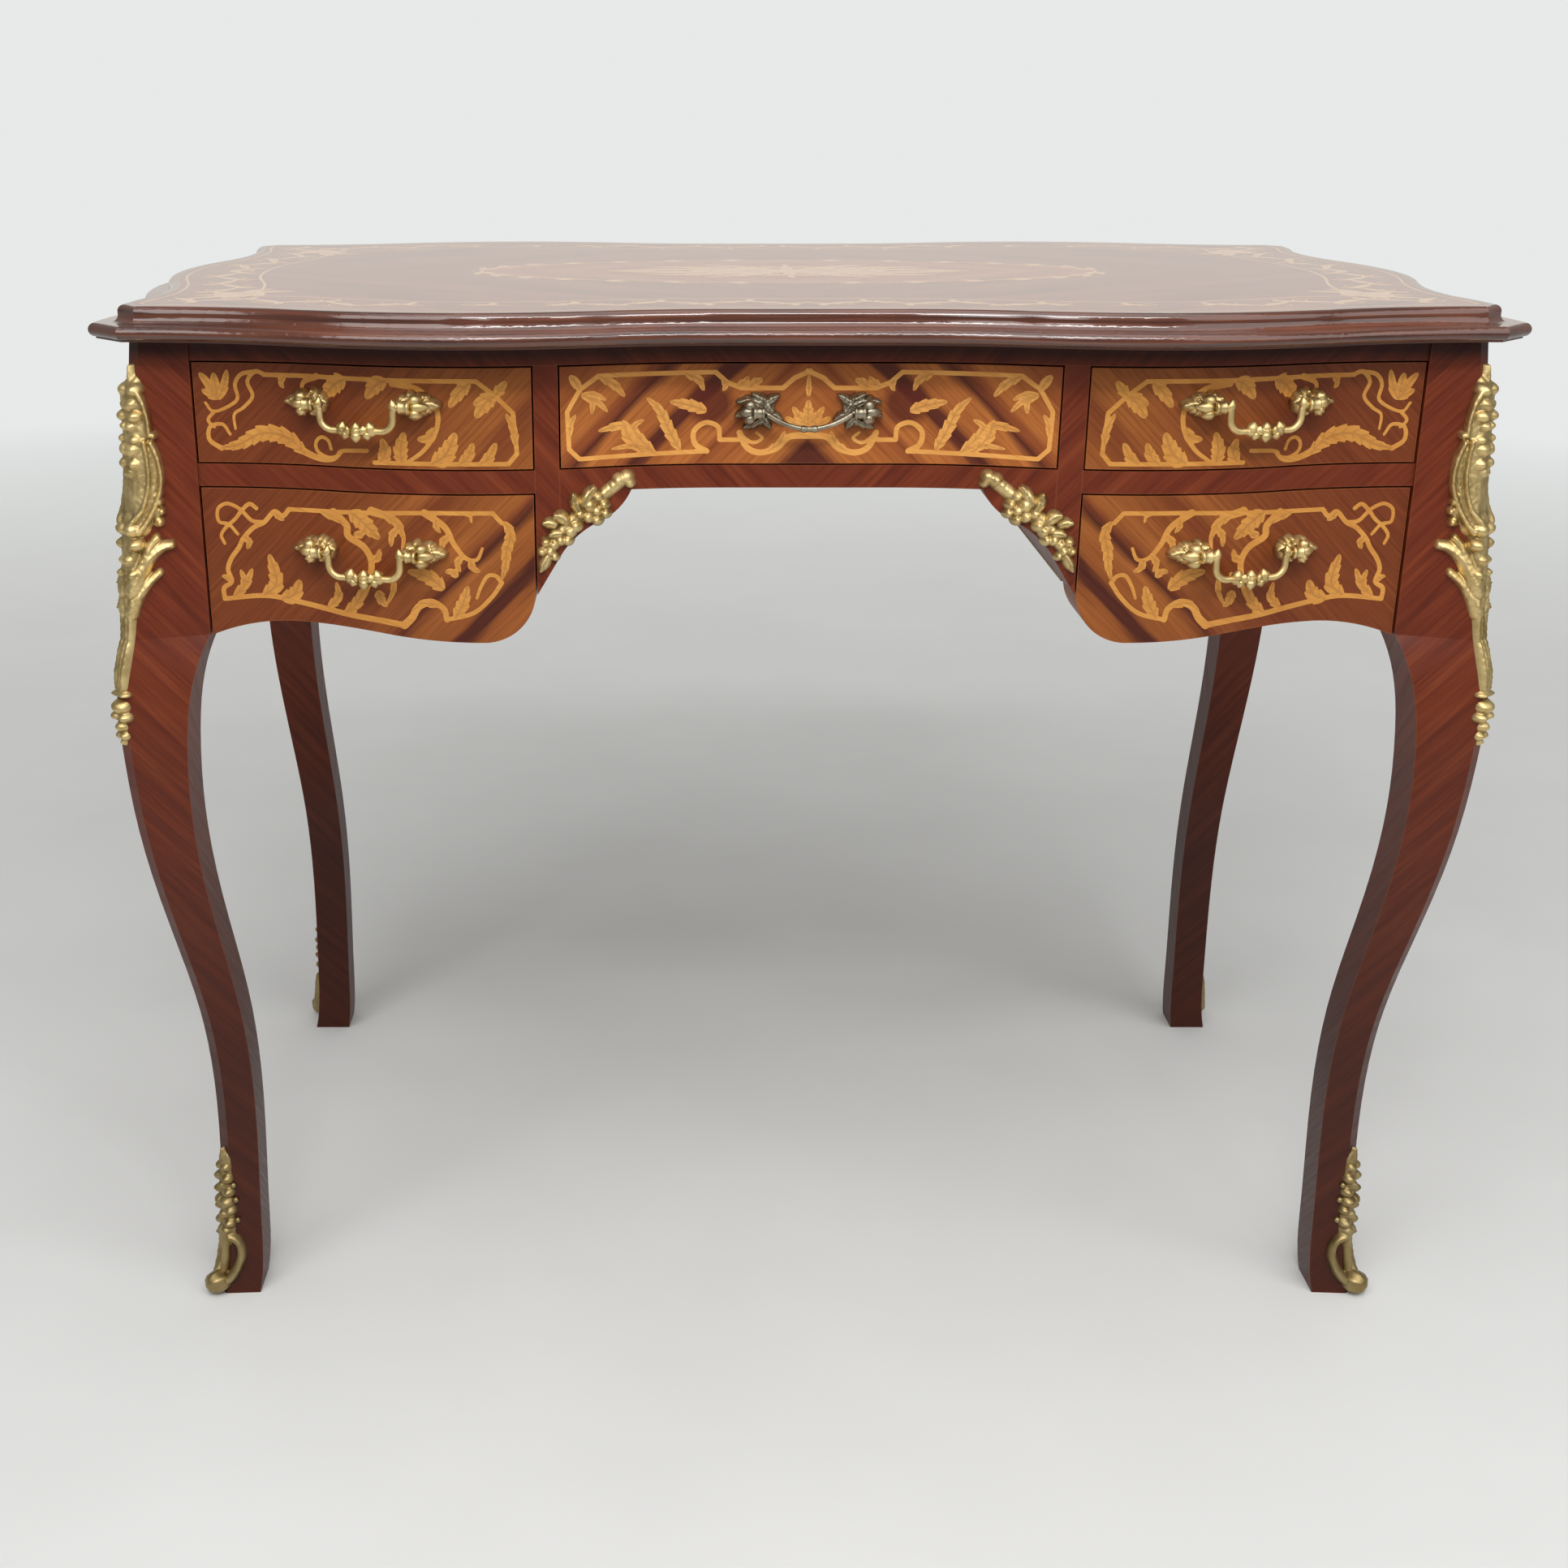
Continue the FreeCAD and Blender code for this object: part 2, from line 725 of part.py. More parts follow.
def trace_side_elevation(sketch):
    arch_top = LEG_END + cell.panel_arch_rise
    outline = Outline(sketch, (-LEG_INNER_Y, FRAME_TOP))
    outline.line((-LEG_INNER_Y, LEG_END))
    outline.ogee((-cell.panel_arch_at, arch_top), "x")
    outline.ogee((ZERO, LEG_END - cell.panel_belly), "x")
    outline.ogee((cell.panel_arch_at, arch_top), "x")
    outline.ogee((LEG_INNER_Y, LEG_END), "x")
    outline.line((LEG_INNER_Y, FRAME_TOP))
    outline.close()


side_blank = padded("side_panel_plan", "XY_Plane", ZERO, FRAME_TOP, trace_side_plan)
side_tool = padded("side_panel_elevation", "YZ_Plane", LEG_INNER_X, cell.corner_width, trace_side_elevation)
pair(boolean("Common", "side_panel_right", side_blank, side_tool), "side_panel")


# Cabriole legs: five-sided sections lofted from the post to the toe
LEG_SECTIONS = [
    (FRAME_TOP, cell.leg_post, cell.leg_post, ZERO),
    (cell.apron_level, cell.apron_out, cell.apron_face, ZERO),
    (cell.knee_level, cell.knee_out, cell.knee_face, cell.knee_inner),
    (cell.calf_level, cell.calf_out, cell.calf_face, cell.calf_inner),
    (cell.shank_level, cell.shank_out, cell.shank_face, cell.shank_inner),
    (cell.shin_level, cell.shin_out, cell.shin_face, cell.shin_inner),
    (cell.ankle_level, cell.ankle_out, cell.ankle_face, cell.ankle_inner),
    (cell.foot_level, cell.foot_out, cell.foot_face, cell.foot_inner),
    (ZERO, cell.toe_out, cell.toe_face, cell.toe_inner),
]


def leg_point(along, across):
    """A point of the front right leg, given from the inner edge of its post."""
    return (LEG_INNER_X + along, -(LEG_INNER_Y + across))


def leg_outline(out, face, inner):
    flat = out - cell.leg_cant
    return polygon([leg_point(inner, inner), leg_point(face, inner), leg_point(out, flat),
                    leg_point(flat, out), leg_point(inner, face)])


leg = doc.addObject("PartDesign::Body", "leg_front_right")
leg_outlines = [(level, leg_outline(out, face, inner)) for level, out, face, inner in LEG_SECTIONS]
lofted(leg, "leg_post", leg_outlines[:2], True)
lofted(leg, "leg_cabriole", leg_outlines[1:], False)
quarter_set(leg, "leg")


# Cast mounts on the legs: lofted over the outer corner, then cut to sit on the leg
def leg_corner(level):
    """How far the outer corner stands out at a level, and how fast the faces fall back from it."""
    for upper, lower in zip(LEG_SECTIONS, LEG_SECTIONS[1:]):
        if level.number >= lower[0].number:
            share = (upper[0] - level) / (upper[0] - lower[0])
            out, face, inner = (high + (low - high) * share for high, low in zip(upper[1:], lower[1:]))
            return out, (out - face) / (out - cell.leg_cant - inner)


def mount_outline(level, reach, ridge):
    """A kite over the leg's outer corner."""
    out, lean = leg_corner(level)
    edge = out - reach
    skirt = out - lean * reach + cell.mount_skin
    flat = out - cell.leg_cant
    return polygon([leg_point(edge, edge), leg_point(skirt, edge), leg_point(out + ridge, flat),
                    leg_point(flat, out + ridge), leg_point(edge, skirt)])


def corner_mount(stem, top, low, sections):
    """A casting lofted from its top to its low end, through shares of its length with a reach and a ridge."""
    body = doc.addObject("PartDesign::Body", f"{stem}_blank")
    outlines = []
    for share, reach, ridge in sections:
        level = top + (low - top) * share
        outlines.append((level, mount_outline(level, reach, ridge)))
    lofted(body, stem, outlines, True)
    quarter_set(boolean("Cut", f"{stem}_front_right", body, leg), stem)


corner_mount("knee_mount", cell.knee_mount_top, cell.knee_mount_low, [
    (ZERO, cell.knee_head_reach, cell.knee_head_ridge),
    (cell.knee_scroll_at, cell.knee_scroll_reach, cell.knee_scroll_ridge),
    (cell.knee_leaf_at, cell.knee_leaf_reach, cell.knee_leaf_ridge),
    (cell.knee_neck_at, cell.knee_neck_reach, cell.knee_neck_ridge),
    (cell.knee_stem_at, cell.knee_stem_reach, cell.knee_stem_ridge),
    (as_size(1), cell.knee_tip_reach, cell.knee_tip_ridge),
])
corner_mount("sabot", cell.sabot_top, ZERO, [
    (ZERO, cell.sabot_rim_reach, cell.sabot_rim_ridge),
    (cell.sabot_waist_at, cell.sabot_waist_reach, cell.sabot_waist_ridge),
    (cell.sabot_scroll_at, cell.sabot_scroll_reach, cell.sabot_scroll_ridge),
    (as_size(1), cell.sabot_toe_reach, cell.sabot_toe_ridge),
])

# Flower mounts in the kneehole corners
spandrel_cover = front_envelope("spandrel_cover", cell.spandrel_thickness)
SPANDREL_HIGH = (STILE_IN - cell.bracket_reach, LOWER_TOP + cell.spandrel_margin)
SPANDREL_LOW = (STILE_OUT - cell.drawer_gap * 2, PARTITION_LOW + cell.spandrel_margin)
spandrel_blank = front_shape("spandrel", polygon([
    (SPANDREL_HIGH[0], SPANDREL_HIGH[1] - cell.spandrel_margin),
    (SPANDREL_LOW[0] - cell.spandrel_margin, SPANDREL_LOW[1]),
    SPANDREL_LOW,
    (SPANDREL_LOW[0], SPANDREL_LOW[1] + cell.spandrel_width),
    (SPANDREL_HIGH[0] + cell.spandrel_width, SPANDREL_HIGH[1]),
    SPANDREL_HIGH,
]))
spandrel_raised = boolean("Common", "spandrel_raised", spandrel_blank, spandrel_cover)
pair(boolean("Cut", "spandrel_mount_right", spandrel_raised, envelope), "spandrel_mount")

# Drawers and their handles
BOX_END = BACK_LINE - cell.box_rear_space


def handle_place(x, level):
    """Middle of a handle's pivot line and its turn about Z, from the chord of the front between the posts."""
    half = cell.post_spacing.number / 2
    near, far = face_line(abs(x - half)), face_line(x + half)
    turn = math.atan2(near - far, 2 * half)
    middle = FreeCAD.Vector(x, -(near + far) / 2, level)
    outward = FreeCAD.Vector(math.sin(turn), -math.cos(turn), 0)
    return FreeCAD.Placement(middle + outward * cell.post_standoff.number,
                             FreeCAD.Rotation(FreeCAD.Vector(0, 0, 1), math.degrees(turn)))


def lens(start, end, rise):
    """Wire of a pointed leaf lying along x between two places, as high above its middle line as below it."""
    tips = [FreeCAD.Vector(start, 0, 0), FreeCAD.Vector(end, 0, 0)]
    crowns = [FreeCAD.Vector((start + end) / 2, 0, side * rise) for side in (1, -1)]
    upper = Part.Arc(tips[0], crowns[0], tips[1])
    lower = Part.Arc(tips[1], crowns[1], tips[0])
    return Part.Wire([upper.toShape(), lower.toShape()])


def stud_places(place):
    """Where the two posts stand, along the front."""
    half = cell.post_spacing.number / 2
    return [place.multVec(FreeCAD.Vector(side * half, 0, 0)) for side in (-1, 1)]


def stud_holes(name, place):
    """Straight bores for the studs, right through a drawer front."""
    deep = (BACK_LINE + BLANK_DEPTH).number
    radius = (cell.stud_radius + cell.stud_play).number
    bores = [Part.makeCylinder(radius, deep, FreeCAD.Vector(spot.x, -deep, spot.z), FreeCAD.Vector(0, 1, 0))
             for spot in stud_places(place)]
    holes = doc.addObject("Part::Feature", name)
    holes.Shape = Part.makeCompound(bores)
    return holes


def handle_posts(name, place):
    """Two cast posts with leaf plates seated on the curved front, a stud behind each and a nut on it."""
    half = cell.post_spacing.number / 2
    standoff = cell.post_standoff.number
    across = FreeCAD.Vector(1, 0, 0)
    inward = FreeCAD.Vector(0, 1, 0)
    solids = []
    for side, spot in zip((-1, 1), stud_places(place)):
        knuckle_start = side * half - cell.knuckle_length.number / 2
        knuckle = Part.makeCylinder(cell.knuckle_radius.number, cell.knuckle_length.number,
                                    FreeCAD.Vector(knuckle_start, 0, 0), across)
        eye = Part.makeCylinder((cell.pin_radius + cell.pin_play).number, cell.knuckle_length.number,
                                FreeCAD.Vector(knuckle_start, 0, 0), across)
        neck_start = FreeCAD.Vector(side * half, 0, 0)
        neck = Part.makeCylinder(cell.neck_radius.number, standoff * 2, neck_start, inward)
        leaf = lens(side * (half - cell.plate_inner.number), side * (half + cell.plate_outer.number),
                    cell.plate_tall.number)
        leaf.translate(inward * (standoff - cell.plate_proud.number))
        plate = Part.Face(leaf).extrude(inward * standoff)
        casting = knuckle.fuse([neck, plate]).cut(eye)
        casting.Placement = place
        casting = casting.cut(envelope.Shape)
        stud_y = spot.y + (cell.knuckle_radius + cell.stud_radius).number
        stud_start = FreeCAD.Vector(spot.x, stud_y, spot.z)
        tail = -BACK_LINE.number + cell.nut_height.number + cell.stud_radius.number
        stud = Part.makeCylinder(cell.stud_radius.number, tail - stud_start.y, stud_start, inward)
        nut_start = FreeCAD.Vector(spot.x, -BACK_LINE.number, spot.z)
        nut = Part.makeCylinder(cell.nut_radius.number, cell.nut_height.number, nut_start, inward)
        solids += [casting.fuse(stud).removeSplitter(), nut.cut(stud)]
    posts = doc.addObject("Part::Feature", name)
    posts.Shape = Part.makeCompound([solid for shape in solids for solid in shape.Solids])
    return posts


def handle_bail(name, place, bail_drop, clasp_radius):
    """A hanging bail: a bent rod with a pin at each end and a clasp in the middle."""
    bend = cell.bail_bend.number
    drop = bail_drop.number
    radius = cell.bail_rod.number
    half = cell.post_spacing.number / 2
    shoulder = half - (cell.knuckle_length / 2 + cell.bail_end_play).number
    waist = shoulder - bend
    sweep_radius = drop - bend
    floor = waist - sweep_radius
    diagonal = math.sqrt(0.5)

    def spot(x, z):
        return FreeCAD.Vector(x, 0, z)

    def corner(side):
        return Part.Arc(spot(side * shoulder, 0),
                        spot(side * (shoulder - bend * diagonal), -bend * (1 - diagonal)),
                        spot(side * waist, -bend))

    def sweep(side):
        return Part.Arc(spot(side * waist, -bend),
                        spot(side * (floor + sweep_radius * diagonal), -bend - sweep_radius * diagonal),
                        spot(side * floor, -drop))

    middle = Part.LineSegment(spot(-floor, -drop), spot(floor, -drop))
    curves = [corner(-1), sweep(-1), middle, sweep(1), corner(1)]
    path = Part.Wire(Part.__sortEdges__([curve.toShape() for curve in curves]))
    ring = Part.Wire(Part.makeCircle(radius, spot(-shoulder, 0), FreeCAD.Vector(1, 0, 0)))
    bail_shape = path.makePipeShell([ring], True, True)
    pin_length = cell.knuckle_length.number + cell.bail_end_play.number
    for start in (-shoulder - pin_length, shoulder):
        pin = Part.makeCylinder(cell.pin_radius.number, pin_length, spot(start, 0), FreeCAD.Vector(1, 0, 0))
        bail_shape = bail_shape.fuse(pin)
    clasp_half = cell.bail_clasp_long.number
    clasp_top = clasp_radius.number - drop
    clasp_arc = Part.Arc(spot(-clasp_half, -drop), spot(0, clasp_top), spot(clasp_half, -drop))
    clasp_axis = Part.LineSegment(spot(clasp_half, -drop), spot(-clasp_half, -drop))
    clasp_face = Part.Face(Part.Wire([clasp_arc.toShape(), clasp_axis.toShape()]))
    clasp = clasp_face.revolve(spot(0, -drop), FreeCAD.Vector(1, 0, 0), 360)
    bail = doc.addObject("Part::Feature", name)
    bail.Shape = bail_shape.fuse(clasp).removeSplitter()
    bail.Placement = place
    return bail


def drawer_box(stem, x, low, tall):
    """Sides, back and bottom of one drawer, and the groove that holds the bottom."""
    left, right = x[0] + cell.box_play, x[1] - cell.box_play
    inner_left, inner_right = left + cell.box_side, right - cell.box_side
    lift = low + cell.bottom_lift
    bottom_z = (lift, lift + cell.box_bottom)
    groove = block(f"{stem}_groove", (inner_left - cell.groove, inner_right + cell.groove),
                   (-(BACK_LINE + cell.groove), BOX_END), bottom_z)
    walls = []
    for hand, span in (("left", (left, inner_left)), ("right", (inner_right, right))):
        plank = block(f"{stem}_{hand}_plank", span, (-BACK_LINE, BOX_END), (low, low + tall))
        walls.append(boolean("Cut", f"{stem}_{hand}_side", plank, groove))
    sides = group(f"{stem}_sides", walls)
    back = block(f"{stem}_back", (inner_left, inner_right), (BOX_END - cell.box_side, BOX_END),
                 (bottom_z[1], low + tall))
    reach = cell.groove - cell.groove_play
    bottom = block(f"{stem}_bottom", (inner_left - reach, inner_right + reach),
                   (-(BACK_LINE + reach), BOX_END), bottom_z)
    return groove, {"sides": sides, "back": back, "bottom": bottom}


def drawer(stem, x, low, tall, front_faced, handle_at, bail_sizes):
    """All pieces of one drawer with its handle, by role."""
    groove, pieces = drawer_box(stem, x, low, tall)
    place = handle_place(as_size(handle_at[0]).number, handle_at[1].number)
    grooved = boolean("Cut", f"{stem}_grooved", front_faced, groove)
    pieces["front"] = boolean("Cut", f"{stem}_front", grooved, stud_holes(f"{stem}_holes", place))
    pieces["posts"] = handle_posts(f"{stem}_posts", place)
    pieces["bail"] = handle_bail(f"{stem}_bail", place, *bail_sizes)
    return pieces


doc.recompute()
SIDE_X = (STILE_OUT, LEG_INNER_X)
CENTRE_X = (-STILE_IN, STILE_IN)
UPPER_LOW = OPENING_LOW + cell.runner_play
LOWER_RUNNER = LOWER_TOP - cell.lower_runner_drop
LOWER_LOW = LOWER_RUNNER + cell.runner_play
FRONT_Z = (OPENING_LOW + cell.drawer_gap, OPENING_TOP - cell.drawer_gap)


def flat_front(stem, x):
    """A straight-edged drawer front with its gap all round."""
    span = (x[0] + cell.drawer_gap, x[1] - cell.drawer_gap)
    return faced(f"{stem}_faced", front_block(stem, span, FRONT_Z))


SIDE_BAIL = (cell.bail_drop, cell.bail_clasp_radius)
CENTRE_BAIL = (cell.centre_bail_drop, cell.centre_clasp_radius)
upper = drawer("upper_drawer", SIDE_X, UPPER_LOW, cell.upper_box, flat_front("upper_drawer", SIDE_X),
               (HANDLE_X, OPENING_LOW + cell.handle_rise_upper), SIDE_BAIL)
lower = drawer("lower_drawer", SIDE_X, LOWER_LOW, cell.lower_box,
               faced("lower_drawer_faced", front_shape("lower_drawer", trace_lower_front)),
               (HANDLE_X, LOWER_TOP - cell.handle_drop_lower), SIDE_BAIL)
centre = drawer("centre_drawer", CENTRE_X, UPPER_LOW, cell.upper_box, flat_front("centre_drawer", CENTRE_X),
                (ZERO, OPENING_LOW + cell.handle_rise_centre), CENTRE_BAIL)
for stem, pieces in (("upper_drawer", upper), ("lower_drawer", lower)):
    for role, piece in pieces.items():
        pair(piece, f"{stem}_{role}")
for role, piece in centre.items():
    keep(piece, f"centre_drawer_{role}")


# Drawer runners and the glue blocks under the top
def runner_pair(stem, x, top):
    """Two bearers under one drawer, against the uprights on either side of it."""
    y = (-BACK_LINE, BACK_LINE)
    z = (top - cell.runner_height, top)
    return [block(f"{stem}_left", (x[0], x[0] + cell.runner_width), y, z),
            block(f"{stem}_right", (x[1] - cell.runner_width, x[1]), y, z)]


def across(x):
    return (-x[1], -x[0])


runners = runner_pair("runner_centre", CENTRE_X, OPENING_LOW)
for hand, span in (("east", SIDE_X), ("west", across(SIDE_X))):
    runners += runner_pair(f"runner_upper_{hand}", span, OPENING_LOW)
    runners += runner_pair(f"runner_lower_{hand}", span, LOWER_RUNNER)
keep(group("drawer_runners", runners), "drawer_runners")

block_z = (FRAME_TOP - cell.block_size, FRAME_TOP)
blocks = []
for number, x in enumerate((-cell.block_spread, -cell.block_step, cell.block_step, cell.block_spread)):
    blocks.append(block(f"block_back_{number}", (x - cell.block_length / 2, x + cell.block_length / 2),
                        (BACK_LINE - cell.block_size, BACK_LINE), block_z))
for number, y in enumerate((-cell.block_step, cell.block_step)):
    span = (y - cell.block_length / 2, y + cell.block_length / 2)
    side_span = (STILE_OUT, STILE_OUT + cell.block_size)
    blocks.append(block(f"block_east_{number}", side_span, span, block_z))
    blocks.append(block(f"block_west_{number}", across(side_span), span, block_z))
keep(group("top_glue_blocks", blocks), "top_glue_blocks")

doc.recompute()
for item in doc.Objects:
    if {"Invalid", "Error"} & set(item.State):
        raise RuntimeError(f"{item.Name} did not build: {item.State}")
os.makedirs("parts", exist_ok=True)
for piece in NODES:
    shape = piece.Shape
    if shape.isNull() or not shape.isValid() or not shape.Solids:
        raise RuntimeError(f"{piece.Label} has no valid solid")
    shape.exportStep(os.path.join("parts", f"{piece.Label}.step"))
print(len(NODES), "pieces")
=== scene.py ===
"""Looks of a serpentine writing desk: veneers, marquetry, cast mounts and handles, in a plain studio."""

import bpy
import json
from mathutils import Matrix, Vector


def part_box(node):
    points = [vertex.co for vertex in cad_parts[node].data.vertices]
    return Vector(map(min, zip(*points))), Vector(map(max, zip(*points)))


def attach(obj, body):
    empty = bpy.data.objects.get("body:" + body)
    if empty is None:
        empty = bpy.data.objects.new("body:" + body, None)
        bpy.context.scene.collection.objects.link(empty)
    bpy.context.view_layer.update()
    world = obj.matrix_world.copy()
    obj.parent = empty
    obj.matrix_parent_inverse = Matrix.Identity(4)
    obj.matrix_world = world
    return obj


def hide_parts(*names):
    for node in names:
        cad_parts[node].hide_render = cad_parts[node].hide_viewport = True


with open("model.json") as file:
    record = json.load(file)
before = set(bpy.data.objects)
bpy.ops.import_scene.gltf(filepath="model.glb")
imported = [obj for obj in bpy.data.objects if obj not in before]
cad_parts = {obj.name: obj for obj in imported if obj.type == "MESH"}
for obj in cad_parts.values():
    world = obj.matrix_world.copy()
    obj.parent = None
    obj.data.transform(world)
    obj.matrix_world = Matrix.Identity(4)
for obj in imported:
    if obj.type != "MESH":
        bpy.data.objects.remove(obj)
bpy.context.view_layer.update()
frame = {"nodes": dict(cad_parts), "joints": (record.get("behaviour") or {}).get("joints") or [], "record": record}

import copy
import json
import math

import bpy
import numpy as np
from mathutils import Vector
from mathutils.bvhtree import BVHTree

MM = 0.001
UP = Vector((0, 0, 1))
FORWARD = Vector((0, -1, 0))
HANDS = (("left", -1), ("right", 1))
ENDS = (("front", 1), ("rear", -1))

# Places shared with the case or by several pieces, in millimetres
FACE_CURVE = [(60, 266), (235, 290), (432, 260)]
SIDE_INLAY_X = 195
UPPER_INLAY_Z = 690.5
LOWER_INLAY_Z = 556
LEG_INNER = (432, 220)
LEG_CANT = 8
LEG_LEVELS = [0, 60, 150, 250, 340, 420, 485, 566, 778]
LEG_OUT = [40, 33, 30.5, 35.5, 51, 63, 67.5, 60, 42]
LEG_FACE = [38.5, 32, 30, 34.5, 49, 60, 62, 43, 42]
LEG_IN = [4, 0, -2, 1.5, 13, 20, 19, 0, 0]
OVAL = (250, 98)


def ogee(place, start, end):
    """Height of a curve of two equal arcs, level at both ends, between two (place, height) points."""
    half = (end[0] - start[0]) / 2
    rise = (end[1] - start[1]) / 2
    radius = (half * half + rise * rise) / (2 * abs(rise))
    near, sign = (start, 1) if place < start[0] + half else (end, -1)
    drop = radius - math.sqrt(max(radius * radius - (place - near[0]) ** 2, 0))
    return near[1] + math.copysign(drop, rise) * sign


def face_line(x):
    """Distance of the serpentine front from the middle plane."""
    x = abs(x)
    if x <= FACE_CURVE[0][0]:
        return FACE_CURVE[0][1]
    for start, end in zip(FACE_CURVE, FACE_CURVE[1:]):
        if x <= end[0]:
            return ogee(x, start, end)
    return FACE_CURVE[-1][1]


def toward(degrees):
    """A flat direction at an angle."""
    turn = math.radians(degrees)
    return np.array((math.cos(turn), math.sin(turn)))


def left_of(ways):
    """Flat directions turned a quarter to the left."""
    return ways[..., ::-1] * (-1, 1)


# Marks that the marquetry and the castings are drawn with
MARGIN = 2.5
NOTHING = -9.0


def smooth_path(points):
    """A rounded line through a few points."""
    steps = 8
    points = np.array(points, float)
    if len(points) < 3:
        return points
    ends = np.vstack((2 * points[0] - points[1], points, 2 * points[-1] - points[-2]))
    share = np.linspace(0, 1, steps, endpoint=False)[:, None]
    spans = []
    for before, start, end, after in zip(ends, ends[1:], ends[2:], ends[3:]):
        bend = 2 * before - 5 * start + 4 * end - after
        twist = 3 * start - before - 3 * end + after
        spans.append(start + ((end - before) * share + bend * share ** 2 + twist * share ** 3) / 2)
    return np.vstack(spans + [points[-1:]])


def lengths(path):
    """Length of each step of a path, and of the path up to each of its points."""
    steps = np.linalg.norm(np.diff(path, axis=0), axis=1)
    return steps, np.concatenate(([0], np.cumsum(steps)))


def nearest(path, u, v):
    """Distance from each place to a path, and the share of the path's length at the nearest point."""
    steps, run = lengths(path)
    best = np.full(u.shape, np.inf)
    share = np.zeros(u.shape)
    for start, end, length, before in zip(path, path[1:], steps, run):
        along_u, along_v = end - start
        part = ((u - start[0]) * along_u + (v - start[1]) * along_v) / max(length * length, 1e-9)
        part = np.clip(part, 0, 1)
        away = np.hypot(u - start[0] - part * along_u, v - start[1] - part * along_v)
        closer = away < best
        best = np.where(closer, away, best)
        share = np.where(closer, (before + part * length) / run[-1], share)
    return best, share


class Mark:
    """One mark of a drawing, with the window that it lies in."""
    def set_window(self, reach):
        self.low = self.path.min(0) - reach - MARGIN
        self.high = self.path.max(0) + reach + MARGIN

    def mirrored(self):
        other = copy.copy(self)
        other.path = self.path * (-1, 1)
        other.low = np.array((-self.high[0], self.low[1]))
        other.high = np.array((-self.low[0], self.high[1]))
        return other


class Stroke(Mark):
    """A line whose half width, and height, run from one end to the other."""
    def __init__(self, points, wide, end=None, high=1.0, high_end=None, straight=False):
        self.path = np.array(points, float) if straight else smooth_path(points)
        self.wide = (wide, wide if end is None else end)
        self.tall = (high, high if high_end is None else high_end)
        self.set_window(max(self.wide))

    def height(self, u, v):
        away, share = nearest(self.path, u, v)
        wide = self.wide[0] + (self.wide[1] - self.wide[0]) * share
        tall = self.tall[0] + (self.tall[1] - self.tall[0]) * share
        return tall * (1 - (away / wide) ** 2), np.zeros(u.shape)


class Leaf(Mark):
    """A pointed leaf along a bent midrib, with lobes that point to its tip and veins between them."""
    NOTCH, STALK = 0.3, 0.3
    FULLEST, ROUNDNESS = 0.7, 0.62
    RIB_WIDE, VEIN_WIDE, VEIN_SLANT, VEIN_REACH, VEIN_DEEP = 0.13, 0.13, 0.9, 0.75, 0.8

    def __init__(self, points, wide, lobes, high=1.0):
        self.path = smooth_path(points)
        self.wide = wide
        self.lobes = lobes
        self.tall = high
        self.set_window(wide)

    def height(self, u, v):
        away, share = nearest(self.path, u, v)
        lobe = (share * self.lobes) % 1.0
        swell = np.sin(np.pi * np.clip(share, 0, 1) ** self.FULLEST) ** self.ROUNDNESS
        wide = self.wide * swell * (1 - self.NOTCH + self.NOTCH * lobe) + self.STALK
        rib = np.exp(-(away / (self.RIB_WIDE * self.wide)) ** 2)
        slant = (share * self.lobes - self.VEIN_SLANT * away / self.wide) % 1.0
        vein = np.exp(-((slant - 0.5) / self.VEIN_WIDE) ** 2) * (away < self.VEIN_REACH * wide)
        return self.tall * (1 - (away / wide) ** 2), np.maximum(rib, self.VEIN_DEEP * vein)


class Bead(Mark):
    """A round pearl."""
    def __init__(self, centre, radius, high=1.0):
        self.path = np.array([centre], float)
        self.radius = radius
        self.tall = high
        self.set_window(radius)

    def height(self, u, v):
        away = np.hypot(u - self.path[0][0], v - self.path[0][1])
        return self.tall * (1 - (away / self.radius) ** 2), np.zeros(u.shape)


class Flower(Bead):
    """A blossom with round petals about a raised heart."""
    HEART, HEART_HIGH = 0.36, 1.1
    WAIST, CREASE, CUP, CUP_RISE = 0.6, 0.35, 0.55, 0.9
    SEAM, SEAM_FROM = 2.2, 0.3

    def __init__(self, centre, radius, petals):
        super().__init__(centre, radius)
        self.petals = petals

    def height(self, u, v):
        off_u, off_v = u - self.path[0][0], v - self.path[0][1]
        away = np.hypot(off_u, off_v)
        wave = np.abs(np.cos(self.petals / 2 * np.arctan2(off_v, off_u)))
        edge = self.radius * (self.WAIST + (1 - self.WAIST) * np.sqrt(wave))
        cupped = self.CUP + self.CUP_RISE * away / self.radius
        petal = (self.CREASE + (1 - self.CREASE) * wave) * (1 - (away / edge) ** 2) * cupped
        heart = self.HEART_HIGH * (1 - (away / (self.HEART * self.radius)) ** 2)
        seam = np.clip(1 - wave * self.SEAM, 0, 1) * (away > self.SEAM_FROM * self.radius)
        return np.maximum(petal, heart), seam


def beads(rows):
    """Pearls from rows of place across, place up, radius and height."""
    return [Bead((across, up), radius, high) for across, up, radius, high in rows]


def leaves(rows):
    """Flat leaves from rows of points, half width and number of lobes."""
    return [Leaf(points, wide, lobes) for *points, wide, lobes in rows]


def both_sides(marks):
    """The marks, and the same marks mirrored across the middle line."""
    return marks + [mark.mirrored() for mark in marks]


